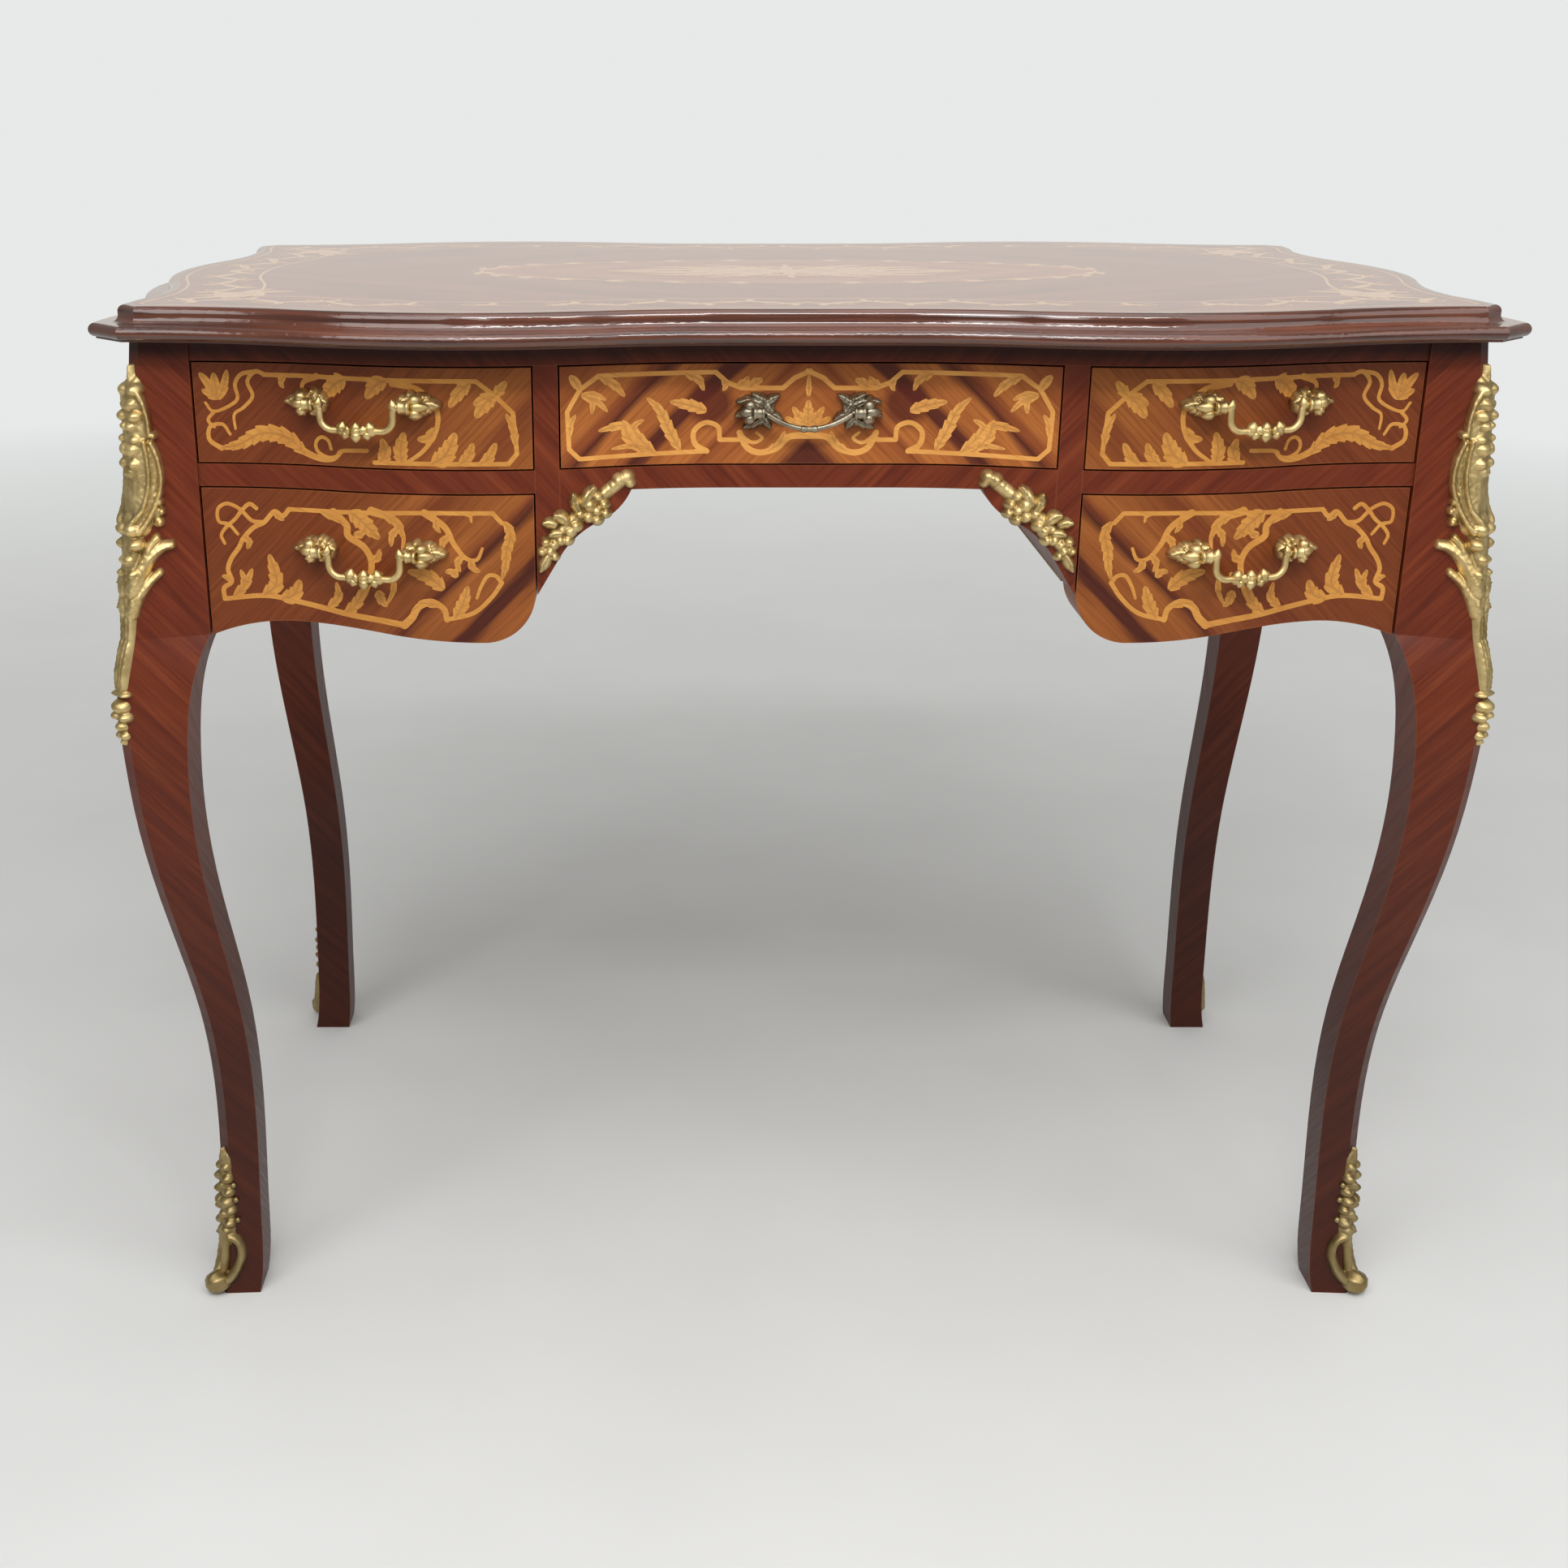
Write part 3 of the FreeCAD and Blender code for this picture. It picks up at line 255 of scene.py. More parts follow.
def drawn(marks, u_span, v_span, step):
    """Height and line work of a drawing over a grid, with the grid's two axes."""
    u_axis = np.arange(u_span[0], u_span[1] + step, step)
    v_axis = np.arange(v_span[0], v_span[1] + step, step)
    field = np.full((len(v_axis), len(u_axis)), NOTHING)
    lines = np.zeros_like(field)
    for mark in marks:
        columns = slice(*np.searchsorted(u_axis, (mark.low[0], mark.high[0])))
        rows = slice(*np.searchsorted(v_axis, (mark.low[1], mark.high[1])))
        u, v = np.meshgrid(u_axis[columns], v_axis[rows])
        high, line = mark.height(u, v)
        old = field[rows, columns]
        lines[rows, columns] = np.where(high > old, line, lines[rows, columns])
        field[rows, columns] = np.maximum(high, old)
    return field, lines, u_axis, v_axis


class Cutting:
    """The part of a drawing above a level: points with heights and line work, faces with clean edges."""
    def __init__(self, drawing, level):
        self.field, self.shades, self.u_axis, self.v_axis = drawing
        self.points, self.heights, self.lines, self.faces = [], [], [], []
        self.known = {}
        inside = self.field > level
        touched = inside[:-1, :-1] | inside[1:, :-1] | inside[:-1, 1:] | inside[1:, 1:]
        for row, column in np.argwhere(touched).tolist():
            ring = [(row, column), (row, column + 1), (row + 1, column + 1), (row + 1, column)]
            face = []
            for first, second in zip(ring, ring[1:] + ring[:1]):
                if inside[first]:
                    face.append(self.number(first, first, 0.0))
                if inside[first] != inside[second]:
                    start, end = sorted((first, second))
                    share = (level - self.field[start]) / (self.field[end] - self.field[start])
                    face.append(self.number(start, end, share))
            if len(face) > 2:
                self.faces.append(face)

    def number(self, start, end, share):
        """Index of a point on a grid edge, made when it is first asked for."""
        key = (start, end)
        if key not in self.known:
            self.known[key] = len(self.points)
            blend = [grid[start] + (grid[end] - grid[start]) * share for grid in (self.field, self.shades)]
            u = self.u_axis[start[1]] + (self.u_axis[end[1]] - self.u_axis[start[1]]) * share
            v = self.v_axis[start[0]] + (self.v_axis[end[0]] - self.v_axis[start[0]]) * share
            self.points.append((u, v))
            self.heights.append(blend[0])
            self.lines.append(blend[1])
        return self.known[key]


# Meshes and pieces
def shape_of(mesh):
    """Points and faces of a mesh."""
    return [vertex.co for vertex in mesh.vertices], [face.vertices for face in mesh.polygons]


def linked(name, data):
    """A new object in the scene."""
    made = bpy.data.objects.new(name, data)
    bpy.context.scene.collection.objects.link(made)
    return made


class Build:
    """Points, faces and line work of one piece, gathered from several shapes."""
    def __init__(self):
        self.points, self.faces, self.lines = [], [], []

    def add(self, points, faces, lines=None):
        first = len(self.points)
        self.points += [tuple(point) for point in points]
        self.faces += [tuple(index + first for index in face) for face in faces]
        self.lines += lines or [0.0] * len(points)

    def piece(self, name, body, slot, material, replaced=(), smooth=True):
        """Makes the piece: it rides on a body, and stands in the place of the solids that it replaces."""
        mesh = bpy.data.meshes.new(name)
        mesh.from_pydata(self.points, [], self.faces)
        mesh.attributes.new("line", "FLOAT", "POINT").data.foreach_set("value", self.lines)
        if smooth:
            mesh.shade_smooth()
        mesh.materials.append(material)
        made = linked(name, mesh)
        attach(made, body)
        if replaced:
            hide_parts(*replaced)


def shell(build, cutting, seats, under, proud=None):
    """A closed shape on a surface: a skin, proud evenly or as drawn, and a back sunk below it."""
    outer, inner = [], []
    for (base, normal), height in zip(seats, cutting.heights):
        outer.append(base + normal * (height if proud is None else proud) * MM)
        inner.append(base - normal * under * MM)
    first = cutting.faces[len(cutting.faces) // 2]
    edges = (outer[first[1]] - outer[first[0]]).cross(outer[first[2]] - outer[first[1]])
    turned = edges.dot(seats[first[0]][1]) < 0
    faces = [face[::-1] if turned else face for face in cutting.faces]
    ways = {way for face in faces for way in zip(face, face[1:] + face[:1])}
    count = len(outer)
    walls = [(end, start, start + count, end + count) for start, end in ways if (end, start) not in ways]
    backs = [[index + count for index in reversed(face)] for face in faces]
    build.add(outer + inner, faces + backs + sorted(walls), cutting.lines * 2)


def mirrored_seats(seats, side, end):
    """The same seats on another corner of the desk."""
    turn = Vector((side, end, 1))
    return [(base * turn, normal * turn) for base, normal in seats]


def surface(node):
    """A node's faces, for finding where a line meets them."""
    return BVHTree.FromPolygons(*shape_of(frame["nodes"][node].data))


def lathe(profile, origin, axis, sides=20, flutes=0, flute=0.0, ring=False):
    """A turned shape from (way along the axis, radius) in millimetres, with closed ends or as a ring."""
    axis = axis.normalized()
    across = axis.orthogonal().normalized()
    over = axis.cross(across)
    points, faces = [], []
    for along, radius in profile:
        for side in range(sides):
            angle = 2 * math.pi * side / sides
            reach = radius * (1 + flute * math.cos(flutes * angle)) * MM
            way = across * math.cos(angle) + over * math.sin(angle)
            points.append(origin + axis * along * MM + way * reach)
    rows = len(profile)
    for row in range(rows if ring else rows - 1):
        low, high = row * sides, (row + 1) % rows * sides
        for side in range(sides):
            after = (side + 1) % sides
            faces.append((low + side, low + after, high + after, high + side))
    if not ring:
        faces.append(tuple(reversed(range(sides))))
        faces.append(tuple(range((rows - 1) * sides, rows * sides)))
    return points, faces


def bud(start, end, wide):
    """A fluted teardrop from its stalk to its tip, both in metres, with its half width in millimetres."""
    sides, flutes, flute, rings = 14, 7, 0.12, 9
    fullest, roundness, stalk = 0.75, 0.8, 0.15
    long = (end - start).length / MM
    profile = []
    for number in range(rings + 1):
        share = number / rings
        profile.append((long * share, wide * math.sin(math.pi * share ** fullest) ** roundness + stalk))
    return lathe(profile, start, end - start, sides, flutes, flute)


# Node trees for swept rods, rows of pearls and stringing lines
def feed(tree, socket, value):
    """Links a socket to another one, or sets it to a plain value."""
    if isinstance(value, bpy.types.NodeSocket):
        tree.links.new(value, socket)
    else:
        socket.default_value = value


class Tree:
    """One geometry node tree on a curve, with its named inputs and a material."""
    def __init__(self, name, **inputs):
        self.group = bpy.data.node_groups.new(name, "GeometryNodeTree")
        face = self.group.interface
        face.new_socket("Geometry", in_out="INPUT", socket_type="NodeSocketGeometry")
        self.inputs = {}
        for label, kind in {**inputs, "Material": "Material"}.items():
            socket = face.new_socket(label, in_out="INPUT", socket_type=f"NodeSocket{kind}")
            self.inputs[label] = socket.identifier
        face.new_socket("Geometry", in_out="OUTPUT", socket_type="NodeSocketGeometry")
        self.given = self.group.nodes.new("NodeGroupInput").outputs

    def add(self, kind, **links):
        node = self.group.nodes.new(kind)
        for label, value in links.items():
            feed(self.group, node.inputs[label.replace("_", " ")], value)
        return node

    def close(self, shape):
        """Ends the tree: real geometry, with its material."""
        real = self.add("GeometryNodeRealizeInstances", Geometry=shape)
        dressed = self.add("GeometryNodeSetMaterial", Geometry=real.outputs[0],
                           Material=self.given["Material"])
        end = self.group.nodes.new("NodeGroupOutput")
        self.group.links.new(dressed.outputs[0], end.inputs[0])
        return self

    def shape(self, curve_object, **values):
        """Points and faces of the tree's result on a curve, which is used up."""
        modifier = curve_object.modifiers.new("Tree", "NODES")
        modifier.node_group = self.group
        for label, value in values.items():
            modifier[self.inputs[label]] = value
        graph = bpy.context.evaluated_depsgraph_get()
        made = bpy.data.meshes.new_from_object(curve_object.evaluated_get(graph))
        bpy.data.objects.remove(curve_object)
        return shape_of(made)


def swept_tree(name, outline, caps, **inputs):
    """An outline swept along the curve, with the outline's own inputs."""
    tree = Tree(name, **inputs)
    sizes = {label: tree.given[label] for label in inputs}
    profile = tree.add(f"GeometryNodeCurvePrimitive{outline}", **sizes)
    swept = tree.add("GeometryNodeCurveToMesh", Curve=tree.given["Geometry"],
                     Profile_Curve=profile.outputs["Curve"], Fill_Caps=caps)
    return tree.close(swept.outputs["Mesh"])


def pearl_tree():
    tree = Tree("Row of pearls", Radius="Float")
    spots = tree.add("GeometryNodeCurveToPoints", Curve=tree.given["Geometry"])
    spots.mode = "EVALUATED"
    pearl = tree.add("GeometryNodeMeshIcoSphere", Radius=tree.given["Radius"], Subdivisions=3)
    row = tree.add("GeometryNodeInstanceOnPoints", Points=spots.outputs["Points"],
                   Instance=pearl.outputs["Mesh"])
    return tree.close(row.outputs["Instances"])


def line_object(points, radii=None, closed=False):
    """A plain curve through points in metres, with a radius at each."""
    data = bpy.data.curves.new("line", "CURVE")
    data.dimensions = "3D"
    spline = data.splines.new("POLY")
    spline.points.add(len(points) - 1)
    for number, point in enumerate(points):
        spline.points[number].co = (*point, 1)
        spline.points[number].radius = radii[number] if radii else 1.0
    spline.use_cyclic_u = closed
    return linked("line", data)


ROD = swept_tree("Swept rod", "Circle", True, Radius="Float", Resolution="Int")
PEARLS = pearl_tree()
STRINGING = swept_tree("Stringing", "Quadrilateral", False, Width="Float", Height="Float")


# Materials
class Paint:
    """One material's nodes, made with short calls."""
    def __init__(self, name):
        self.material = bpy.data.materials.new(name)
        self.material.use_nodes = True
        self.tree = self.material.node_tree
        self.shader = self.tree.nodes["Principled BSDF"]

    def add(self, kind, inputs=None, **settings):
        node = self.tree.nodes.new(kind)
        for label, value in settings.items():
            setattr(node, label, value)
        for key, value in (inputs or {}).items():
            feed(self.tree, node.inputs[key], value)
        return node

    def finish(self, **values):
        for label, value in values.items():
            feed(self.tree, self.shader.inputs[label.replace("_", " ")], value)
        return self.material

    def math(self, operation, first, second=0.0):
        return self.add("ShaderNodeMath", {0: first, 1: second}, operation=operation).outputs[0]

    def spread(self, value, low, high, to_low=0.0, to_high=1.0):
        return self.add("ShaderNodeMapRange", {0: value, 1: low, 2: high, 3: to_low, 4: to_high}).outputs[0]

    def vector(self, operation, first, second=(0, 0, 0), output="Value"):
        return self.add("ShaderNodeVectorMath", {0: first, 1: second}, operation=operation).outputs[output]

    def parts(self, vector):
        return self.add("ShaderNodeSeparateXYZ", {0: vector}).outputs

    def joined(self, x, y, z=0.0):
        return self.add("ShaderNodeCombineXYZ", {0: x, 1: y, 2: z}).outputs[0]

    def line_work(self):
        return self.add("ShaderNodeAttribute", attribute_name="line").outputs["Fac"]

    def noise(self, vector, scale, detail=3.0):
        return self.add("ShaderNodeTexNoise", {"Vector": vector, "Scale": scale, "Detail": detail,
                                               "Roughness": 0.55}).outputs[0]

    def ramp(self, value, stops):
        node = self.add("ShaderNodeValToRGB", {0: value})
        while len(node.color_ramp.elements) < len(stops):
            node.color_ramp.elements.new(0.5)
        for element, (place, colour) in zip(node.color_ramp.elements, stops):
            element.position = place
            element.color = (*colour, 1)
        return node.outputs[0]

    def mix(self, share, first, second, blend="MIX"):
        node = self.add("ShaderNodeMix", {0: share}, data_type="RGBA", blend_type=blend)
        for number, value in ((6, first), (7, second)):
            feed(self.tree, node.inputs[number], (*value, 1) if isinstance(value, tuple) else value)
        return node.outputs[2]

    def times(self, first, second):
        return self.mix(1.0, first, second, "MULTIPLY")

    def place(self):
        return self.add("ShaderNodeTexCoord").outputs["Object"]

    def folded(self):
        """Object coordinates folded about the two middle planes, so that the figure is matched in pairs."""
        x, y, z = self.parts(self.place())
        return self.joined(self.math("ABSOLUTE", x), self.math("ABSOLUTE", y), z)

    def plus(self, first, second, share):
        """A value plus a share of another."""
        return self.math("ADD", first, self.math("MULTIPLY", second, share))

    def uneven(self, noise, low, high):
        """A value that wanders between two ends with a noise."""
        return self.spread(noise, 0.3, 0.7, low, high)

    def ways(self, vector, *directions):
        """How far a vector reaches in each direction."""
        return [self.vector("DOT_PRODUCT", vector, direction) for direction in directions]

    def streaks(self, across, along, *scales):
        """Noises drawn out along the grain, each with so many streaks to the metre across and along."""
        made = []
        for fine, coarse in scales:
            vector = self.joined(self.math("MULTIPLY", across, fine), self.math("MULTIPLY", along, coarse))
            made.append(self.noise(vector, 1.0))
        return made

    def bump(self, height, strength, distance):
        return self.add("ShaderNodeBump", {"Height": height, "Strength": strength,
                                           "Distance": distance}).outputs[0]

    def worn_edges(self, radius):
        """Share of wear near the edges of the solid, from how far the softened face turns away."""
        flat, sharp = 0.98, 0.8
        soft = self.add("ShaderNodeBevel", {"Radius": radius}, samples=4).outputs[0]
        true = self.add("ShaderNodeNewGeometry").outputs["Normal"]
        return self.spread(self.vector("DOT_PRODUCT", soft, true), flat, sharp)


POLISH = {"Coat_Roughness": 0.12, "Specular_IOR_Level": 0.25}
CENTRE_EDGE = (0.19, 0.17)


def polished(paint, colour, grain, pores, wear_colour, rough=0.4, coat=0.08):
    """Common finish of the veneers: worn edges, open pores under a polish."""
    edge, wear, pore, deep = 0.0015, 0.55, 0.12, 0.0004
    colour = paint.mix(paint.math("MULTIPLY", paint.worn_edges(edge), wear), colour, wear_colour)
    return paint.finish(Base_Color=colour, Roughness=paint.uneven(grain, rough - 0.06, rough + 0.1),
                        Normal=paint.bump(pores, pore, deep), Coat_Weight=coat, **POLISH)


def lined(paint, ground, grain, dark, pale):
    """A ground with darker and paler lines along its grain."""
    return paint.times(ground, paint.ramp(grain, [(0.3, dark), (0.55, (1.0, 1.0, 1.0)), (0.75, pale)]))


def case_veneer():
    """Red-brown striped veneer on the slant, matched in pairs, with painted shade down the legs and a painted
    shadow just under the top.
    """
    paint = Paint("case_veneer")
    folded = paint.folded()
    across, along = paint.ways(folded, (0.577, 0.577, -0.577), (0.408, 0.408, 0.816))
    figure, grain, pores = paint.streaks(across, along, (120, 6), (430, 16), (1900, 60))
    ground = paint.ramp(figure, [(0.28, (0.1, 0.014, 0.005)), (0.42, (0.14, 0.022, 0.0065)),
                                 (0.56, (0.17, 0.029, 0.008)), (0.74, (0.21, 0.043, 0.012))])
    colour = lined(paint, ground, grain, (0.76, 0.68, 0.62), (1.2, 1.22, 1.2))
    # Painted shade: the colour darkens towards the foot of the legs, and a painted shadow darkens the wood just
    # under the overhang of the top.
    foot, knee, rail, under_top = 0.2, 0.62, 0.762, 0.77
    painted_foot_shade, painted_overhang_shadow = 0.36, 0.32
    level = paint.parts(folded)[2]
    down = paint.spread(level, foot, knee, painted_foot_shade, 1.0)
    up = paint.spread(level, rail, under_top, 1.0, painted_overhang_shadow)
    colour = paint.times(colour, paint.math("MULTIPLY", down, up))
    return polished(paint, colour, grain, pores, (0.22, 0.07, 0.025))


def drawer_veneer():
    """Golden-brown banded veneer on the slant, redder at the outer ends and in a patch near the middle."""
    paint = Paint("drawer_veneer")
    folded = paint.folded()
    parts = paint.parts(folded)
    across, along = paint.ways(folded, (0.707, 0, 0.707), (0.707, 0, -0.707))
    sway, grain, pores = paint.streaks(across, along, (60, 10), (480, 16), (2000, 70))
    band = paint.spread(paint.plus(across, sway, 0.016), 0.49, 0.86)
    light, middle = (0.34, 0.105, 0.022), (0.27, 0.076, 0.016)
    brown, dark = (0.19, 0.044, 0.011), (0.075, 0.014, 0.006)
    ground = paint.ramp(band, [
        (0.0, dark), (0.05, dark), (0.07, light), (0.14, middle), (0.17, brown), (0.185, light),
        (0.23, middle), (0.24, dark), (0.262, dark), (0.275, middle), (0.32, light), (0.34, dark),
        (0.355, brown), (0.37, light), (0.42, middle), (0.47, brown), (0.5, light), (0.58, middle),
        (0.66, light), (0.74, brown), (0.86, middle), (1.0, brown)])
    outer_from, outer_to, outer_share = 0.31, 0.4, 0.8
    outer = paint.spread(paint.plus(parts[0], paint.noise(folded, 14), 0.12), outer_from, outer_to)
    ground = paint.mix(paint.math("MULTIPLY", outer, outer_share), ground, (0.165, 0.034, 0.009))
    brighter = paint.times(ground, (1.4, 1.45, 1.5))
    ground = paint.mix(paint.spread(parts[0], *CENTRE_EDGE), ground, brighter)
    patch, rim, core, patch_share = (0.068, 0, 0.733), 0.019, 0.011, 0.85
    away = paint.vector("DISTANCE", paint.joined(parts[0], 0.0, parts[2]), patch)
    ground = paint.mix(paint.spread(away, rim, core, 0.0, patch_share), ground, (0.12, 0.018, 0.008))
    colour = lined(paint, ground, grain, (0.74, 0.68, 0.62), (1.2, 1.18, 1.12))
    return polished(paint, colour, grain, pores, (0.34, 0.12, 0.04))


def top_veneer():
    """Quarter-matched veneer of the top with a paler oval panel, under a thick polish."""
    paint = Paint("top_veneer")
    folded = paint.folded()
    across, along = paint.ways(folded, (0.6, 0.8, 0), (0.8, -0.6, 0))
    figure, grain, pores = paint.streaks(across, along, (45, 3), (420, 12), (1700, 60))
    ground = paint.ramp(figure, [(0.28, (0.11, 0.03, 0.014)), (0.45, (0.2, 0.058, 0.026)),
                                 (0.6, (0.27, 0.088, 0.04)), (0.75, (0.34, 0.13, 0.062))])
    colour = lined(paint, ground, grain, (0.7, 0.65, 0.6), (1.15, 1.15, 1.1))
    unit = (1 / (OVAL[0] * MM), 1 / (OVAL[1] * MM), 0)
    away = paint.vector("LENGTH", paint.vector("MULTIPLY", folded, unit, "Vector"))
    panel = paint.times(colour, (1.6, 1.6, 1.4))
    colour = paint.mix(paint.spread(away, 1.0, 0.99), colour, panel)
    return polished(paint, colour, grain, pores, (0.3, 0.12, 0.06), 0.36, 1.0)


def moulding_wood():
    """Dark polished wood with the grain along the edge of the top."""
    paint = Paint("moulding_wood")
    parts = paint.parts(paint.place())
    run = paint.math("ADD", parts[0], parts[1])
    grain, pores = paint.streaks(parts[2], run, (330, 9), (1500, 50))
    colour = paint.ramp(grain, [(0.3, (0.04, 0.009, 0.004)), (0.5, (0.1, 0.024, 0.009)),
                                (0.72, (0.17, 0.046, 0.017))])
    paint.finish(Coat_IOR=1.62)
    return polished(paint, colour, grain, pores, (0.2, 0.08, 0.045), 0.25, 1.0)


def inner_wood():
    """Pale plain wood of the drawer boxes, runners and blocks."""
    paint = Paint("inner_wood")
    parts = paint.parts(paint.place())
    across = paint.plus(parts[0], parts[2], 0.8)
    grain, pores = paint.streaks(across, parts[1], (240, 6), (1500, 45))
    colour = paint.ramp(grain, [(0.28, (0.27, 0.15, 0.07)), (0.5, (0.42, 0.26, 0.135)),
                                (0.74, (0.52, 0.35, 0.2))])
    return paint.finish(Base_Color=colour, Roughness=paint.uneven(grain, 0.5, 0.68),
                        Normal=paint.bump(pores, 0.2, 0.0004))


def inlay_wood(name, pale, deep, coat, middle):
    """Golden marquetry wood with engraved veins, in another tone near the middle of the desk."""
    paint = Paint(name)
    place = paint.place()
    parts = paint.parts(place)
    slant, vein = 0.35, 0.5
    across = paint.plus(parts[2], parts[0], slant)
    grain = paint.streaks(across, paint.math("ADD", parts[0], parts[1]), (700, 25))[0]
    tone = paint.plus(paint.math("MULTIPLY", grain, 0.5), paint.noise(place, 45.0), 0.5)
    colour = paint.ramp(tone, [(0.32, deep), (0.66, pale)])
    near = paint.spread(paint.math("ABSOLUTE", parts[0]), *CENTRE_EDGE)
    colour = paint.mix(near, colour, paint.times(colour, middle))
    colour = paint.mix(paint.math("MULTIPLY", paint.line_work(), vein), colour, (0.26, 0.1, 0.03))
    return paint.finish(Base_Color=colour, Roughness=paint.uneven(grain, 0.26, 0.38),
                        Normal=paint.bump(grain, 0.08, 0.0003), Coat_Weight=coat, **POLISH)


def cast_brass(name, bright, worn, dark, rough):
    """Cast metal: uneven in tone, dark in its pits, dark with dirt and painted shade in its lines and hollows, and
    darker towards the floor as painted shade.
    """
    paint = Paint(name)
    place = paint.place()
    cloud = paint.noise(place, 55.0, 5.0)
    pits = paint.noise(place, 900.0, 4.0)
    # Dark mix for the pits, and for dirt with painted shade in the lines and hollows.
    pits_dirt_and_shade = paint.plus(paint.spread(pits, 0.55, 0.8, 0.0, 0.35), paint.line_work(), 0.65)
    metal = paint.ramp(cloud, [(0.35, worn), (0.62, bright)])
    # Painted shade: the metal darkens towards the floor.
    foot, knee, painted_foot_shade = 0.1, 0.6, 0.5
    metal = paint.times(metal, paint.spread(paint.parts(place)[2], foot, knee, painted_foot_shade, 1.0))
    return paint.finish(Base_Color=paint.mix(pits_dirt_and_shade, metal, dark), Metallic=1.0,
                        Roughness=paint.uneven(cloud, rough - 0.06, rough + 0.12),
                        Normal=paint.bump(pits, 0.25, 0.0005))


def steel():
    """Dull turned steel."""
    paint = Paint("steel")
    cloud = paint.noise(paint.place(), 300.0, 4.0)
    colour = paint.ramp(cloud, [(0.3, (0.25, 0.24, 0.23)), (0.7, (0.45, 0.44, 0.43))])
    return paint.finish(Base_Color=colour, Metallic=1.0, Roughness=paint.uneven(cloud, 0.35, 0.55),
                        Normal=paint.bump(cloud, 0.1, 0.0003))


FINISH = {
    "case_veneer": case_veneer(),
    "drawer_veneer": drawer_veneer(),
    "top_veneer": top_veneer(),
    "moulding_wood": moulding_wood(),
    "inner_wood": inner_wood(),
    "gilt_brass": cast_brass("gilt_brass", (0.8, 0.62, 0.3), (0.58, 0.42, 0.175),
                             (0.16, 0.095, 0.035), 0.42),
    "dark_brass": cast_brass("dark_brass", (0.42, 0.37, 0.27), (0.24, 0.2, 0.14),
                             (0.05, 0.04, 0.028), 0.38),
    "steel": steel(),
}
DRAWER_INLAY = inlay_wood("drawer_inlay", (0.72, 0.335, 0.074), (0.52, 0.21, 0.04), 0.08, (1.25, 1.3, 1.5))
TOP_INLAY = inlay_wood("top_inlay", (0.74, 0.45, 0.21), (0.55, 0.3, 0.125), 1.0, (1.0, 1.0, 1.0))
for part in frame["record"]["subparts"]:
    slots = frame["nodes"][part["node"]].data.materials
    slots.clear()
    slots.append(FINISH["case_veneer" if part["node"].startswith("partition") else part["material_slot"]])


# Marquetry of the drawers, drawn from the inner lower corner of each front
INLAY_STEP = 0.75
INLAY_PROUD = 0.12
INLAY_DEEP = 0.5
LINE = 1.6


def upper_marquetry():
    """Vine border, leaves along it, and a large acanthus with a looped tendril at the outer end."""
    return [
        Stroke([(108, 5), (14, 5), (8, 12), (10, 40), (22, 52), (35, 62), (93, 62), (158, 63),
                (185, 63)], LINE, straight=True),
        Stroke([(93, 60), (75, 56), (63, 44), (63, 29), (72, 15), (84, 6)], 2.3, 1.3),
        Stroke([(147, 63), (157, 58), (157, 49)], 2.3, 1.0),
        Stroke([(113, 13), (131, 12), (135, 8), (142, 7), (149, 11), (150, 17), (146, 21), (141, 19),
                (139, 13)], 1.5, 1.2),
        Stroke([(131, 12), (138, 6), (148, 6), (160, 11), (170, 19)], 1.3, 3.2),
        Stroke([(219, 11), (227, 17), (226, 26), (217, 28), (212, 21)], 1.8, 1.1),
        Stroke([(184, 63), (191, 65), (197, 58), (194, 48), (201, 40), (208, 35), (208, 25)], LINE, 1.0),
        Stroke([(191, 65), (201, 63), (206, 56), (205, 46), (213, 40), (223, 37), (228, 43)], LINE, 1.0),
        Stroke([(222, 37), (227, 31), (223, 26)], 1.3, 1.1),
    ] + leaves([
        ((22, 52), (18, 57), (14, 62), 4, 2), ((22, 52), (29, 47), (36, 37), 6, 3),
        ((24, 52), (30, 50), (37, 46), 4, 2), ((9, 18), (10, 29), (15, 40), 3, 3),
        ((39, 61), (46, 55), (54, 44), 5, 3), ((64, 30), (69, 23), (77, 22), 4, 2),
        ((34, 5), (28, 9), (22, 20), 4, 2), ((48, 5), (42, 10), (38, 20), 4.4, 3),
        ((67, 5), (57, 12), (50, 27), 7, 4), ((88, 5), (89, 14), (86, 27), 5.6, 4),
        ((104, 5), (100, 12), (102, 22), 5, 3), ((97, 62), (105, 58), (112, 49), 6, 3),
        ((126, 62), (134, 58), (143, 48), 7, 4),
        ((158, 9), (172, 20), (189, 22), (206, 14), (220, 11), 6.5, 9),
        ((219, 45), (214, 55), (211, 66), 3.6, 2), ((219, 45), (220, 55), (221, 64), 4.4, 2),
        ((219, 45), (225, 56), (231, 64), 4, 2), ((219, 46), (224, 49), (230, 52), 3.4, 2),
        ((170, 63), (173, 58), (171, 54), 2.4, 2),
    ])


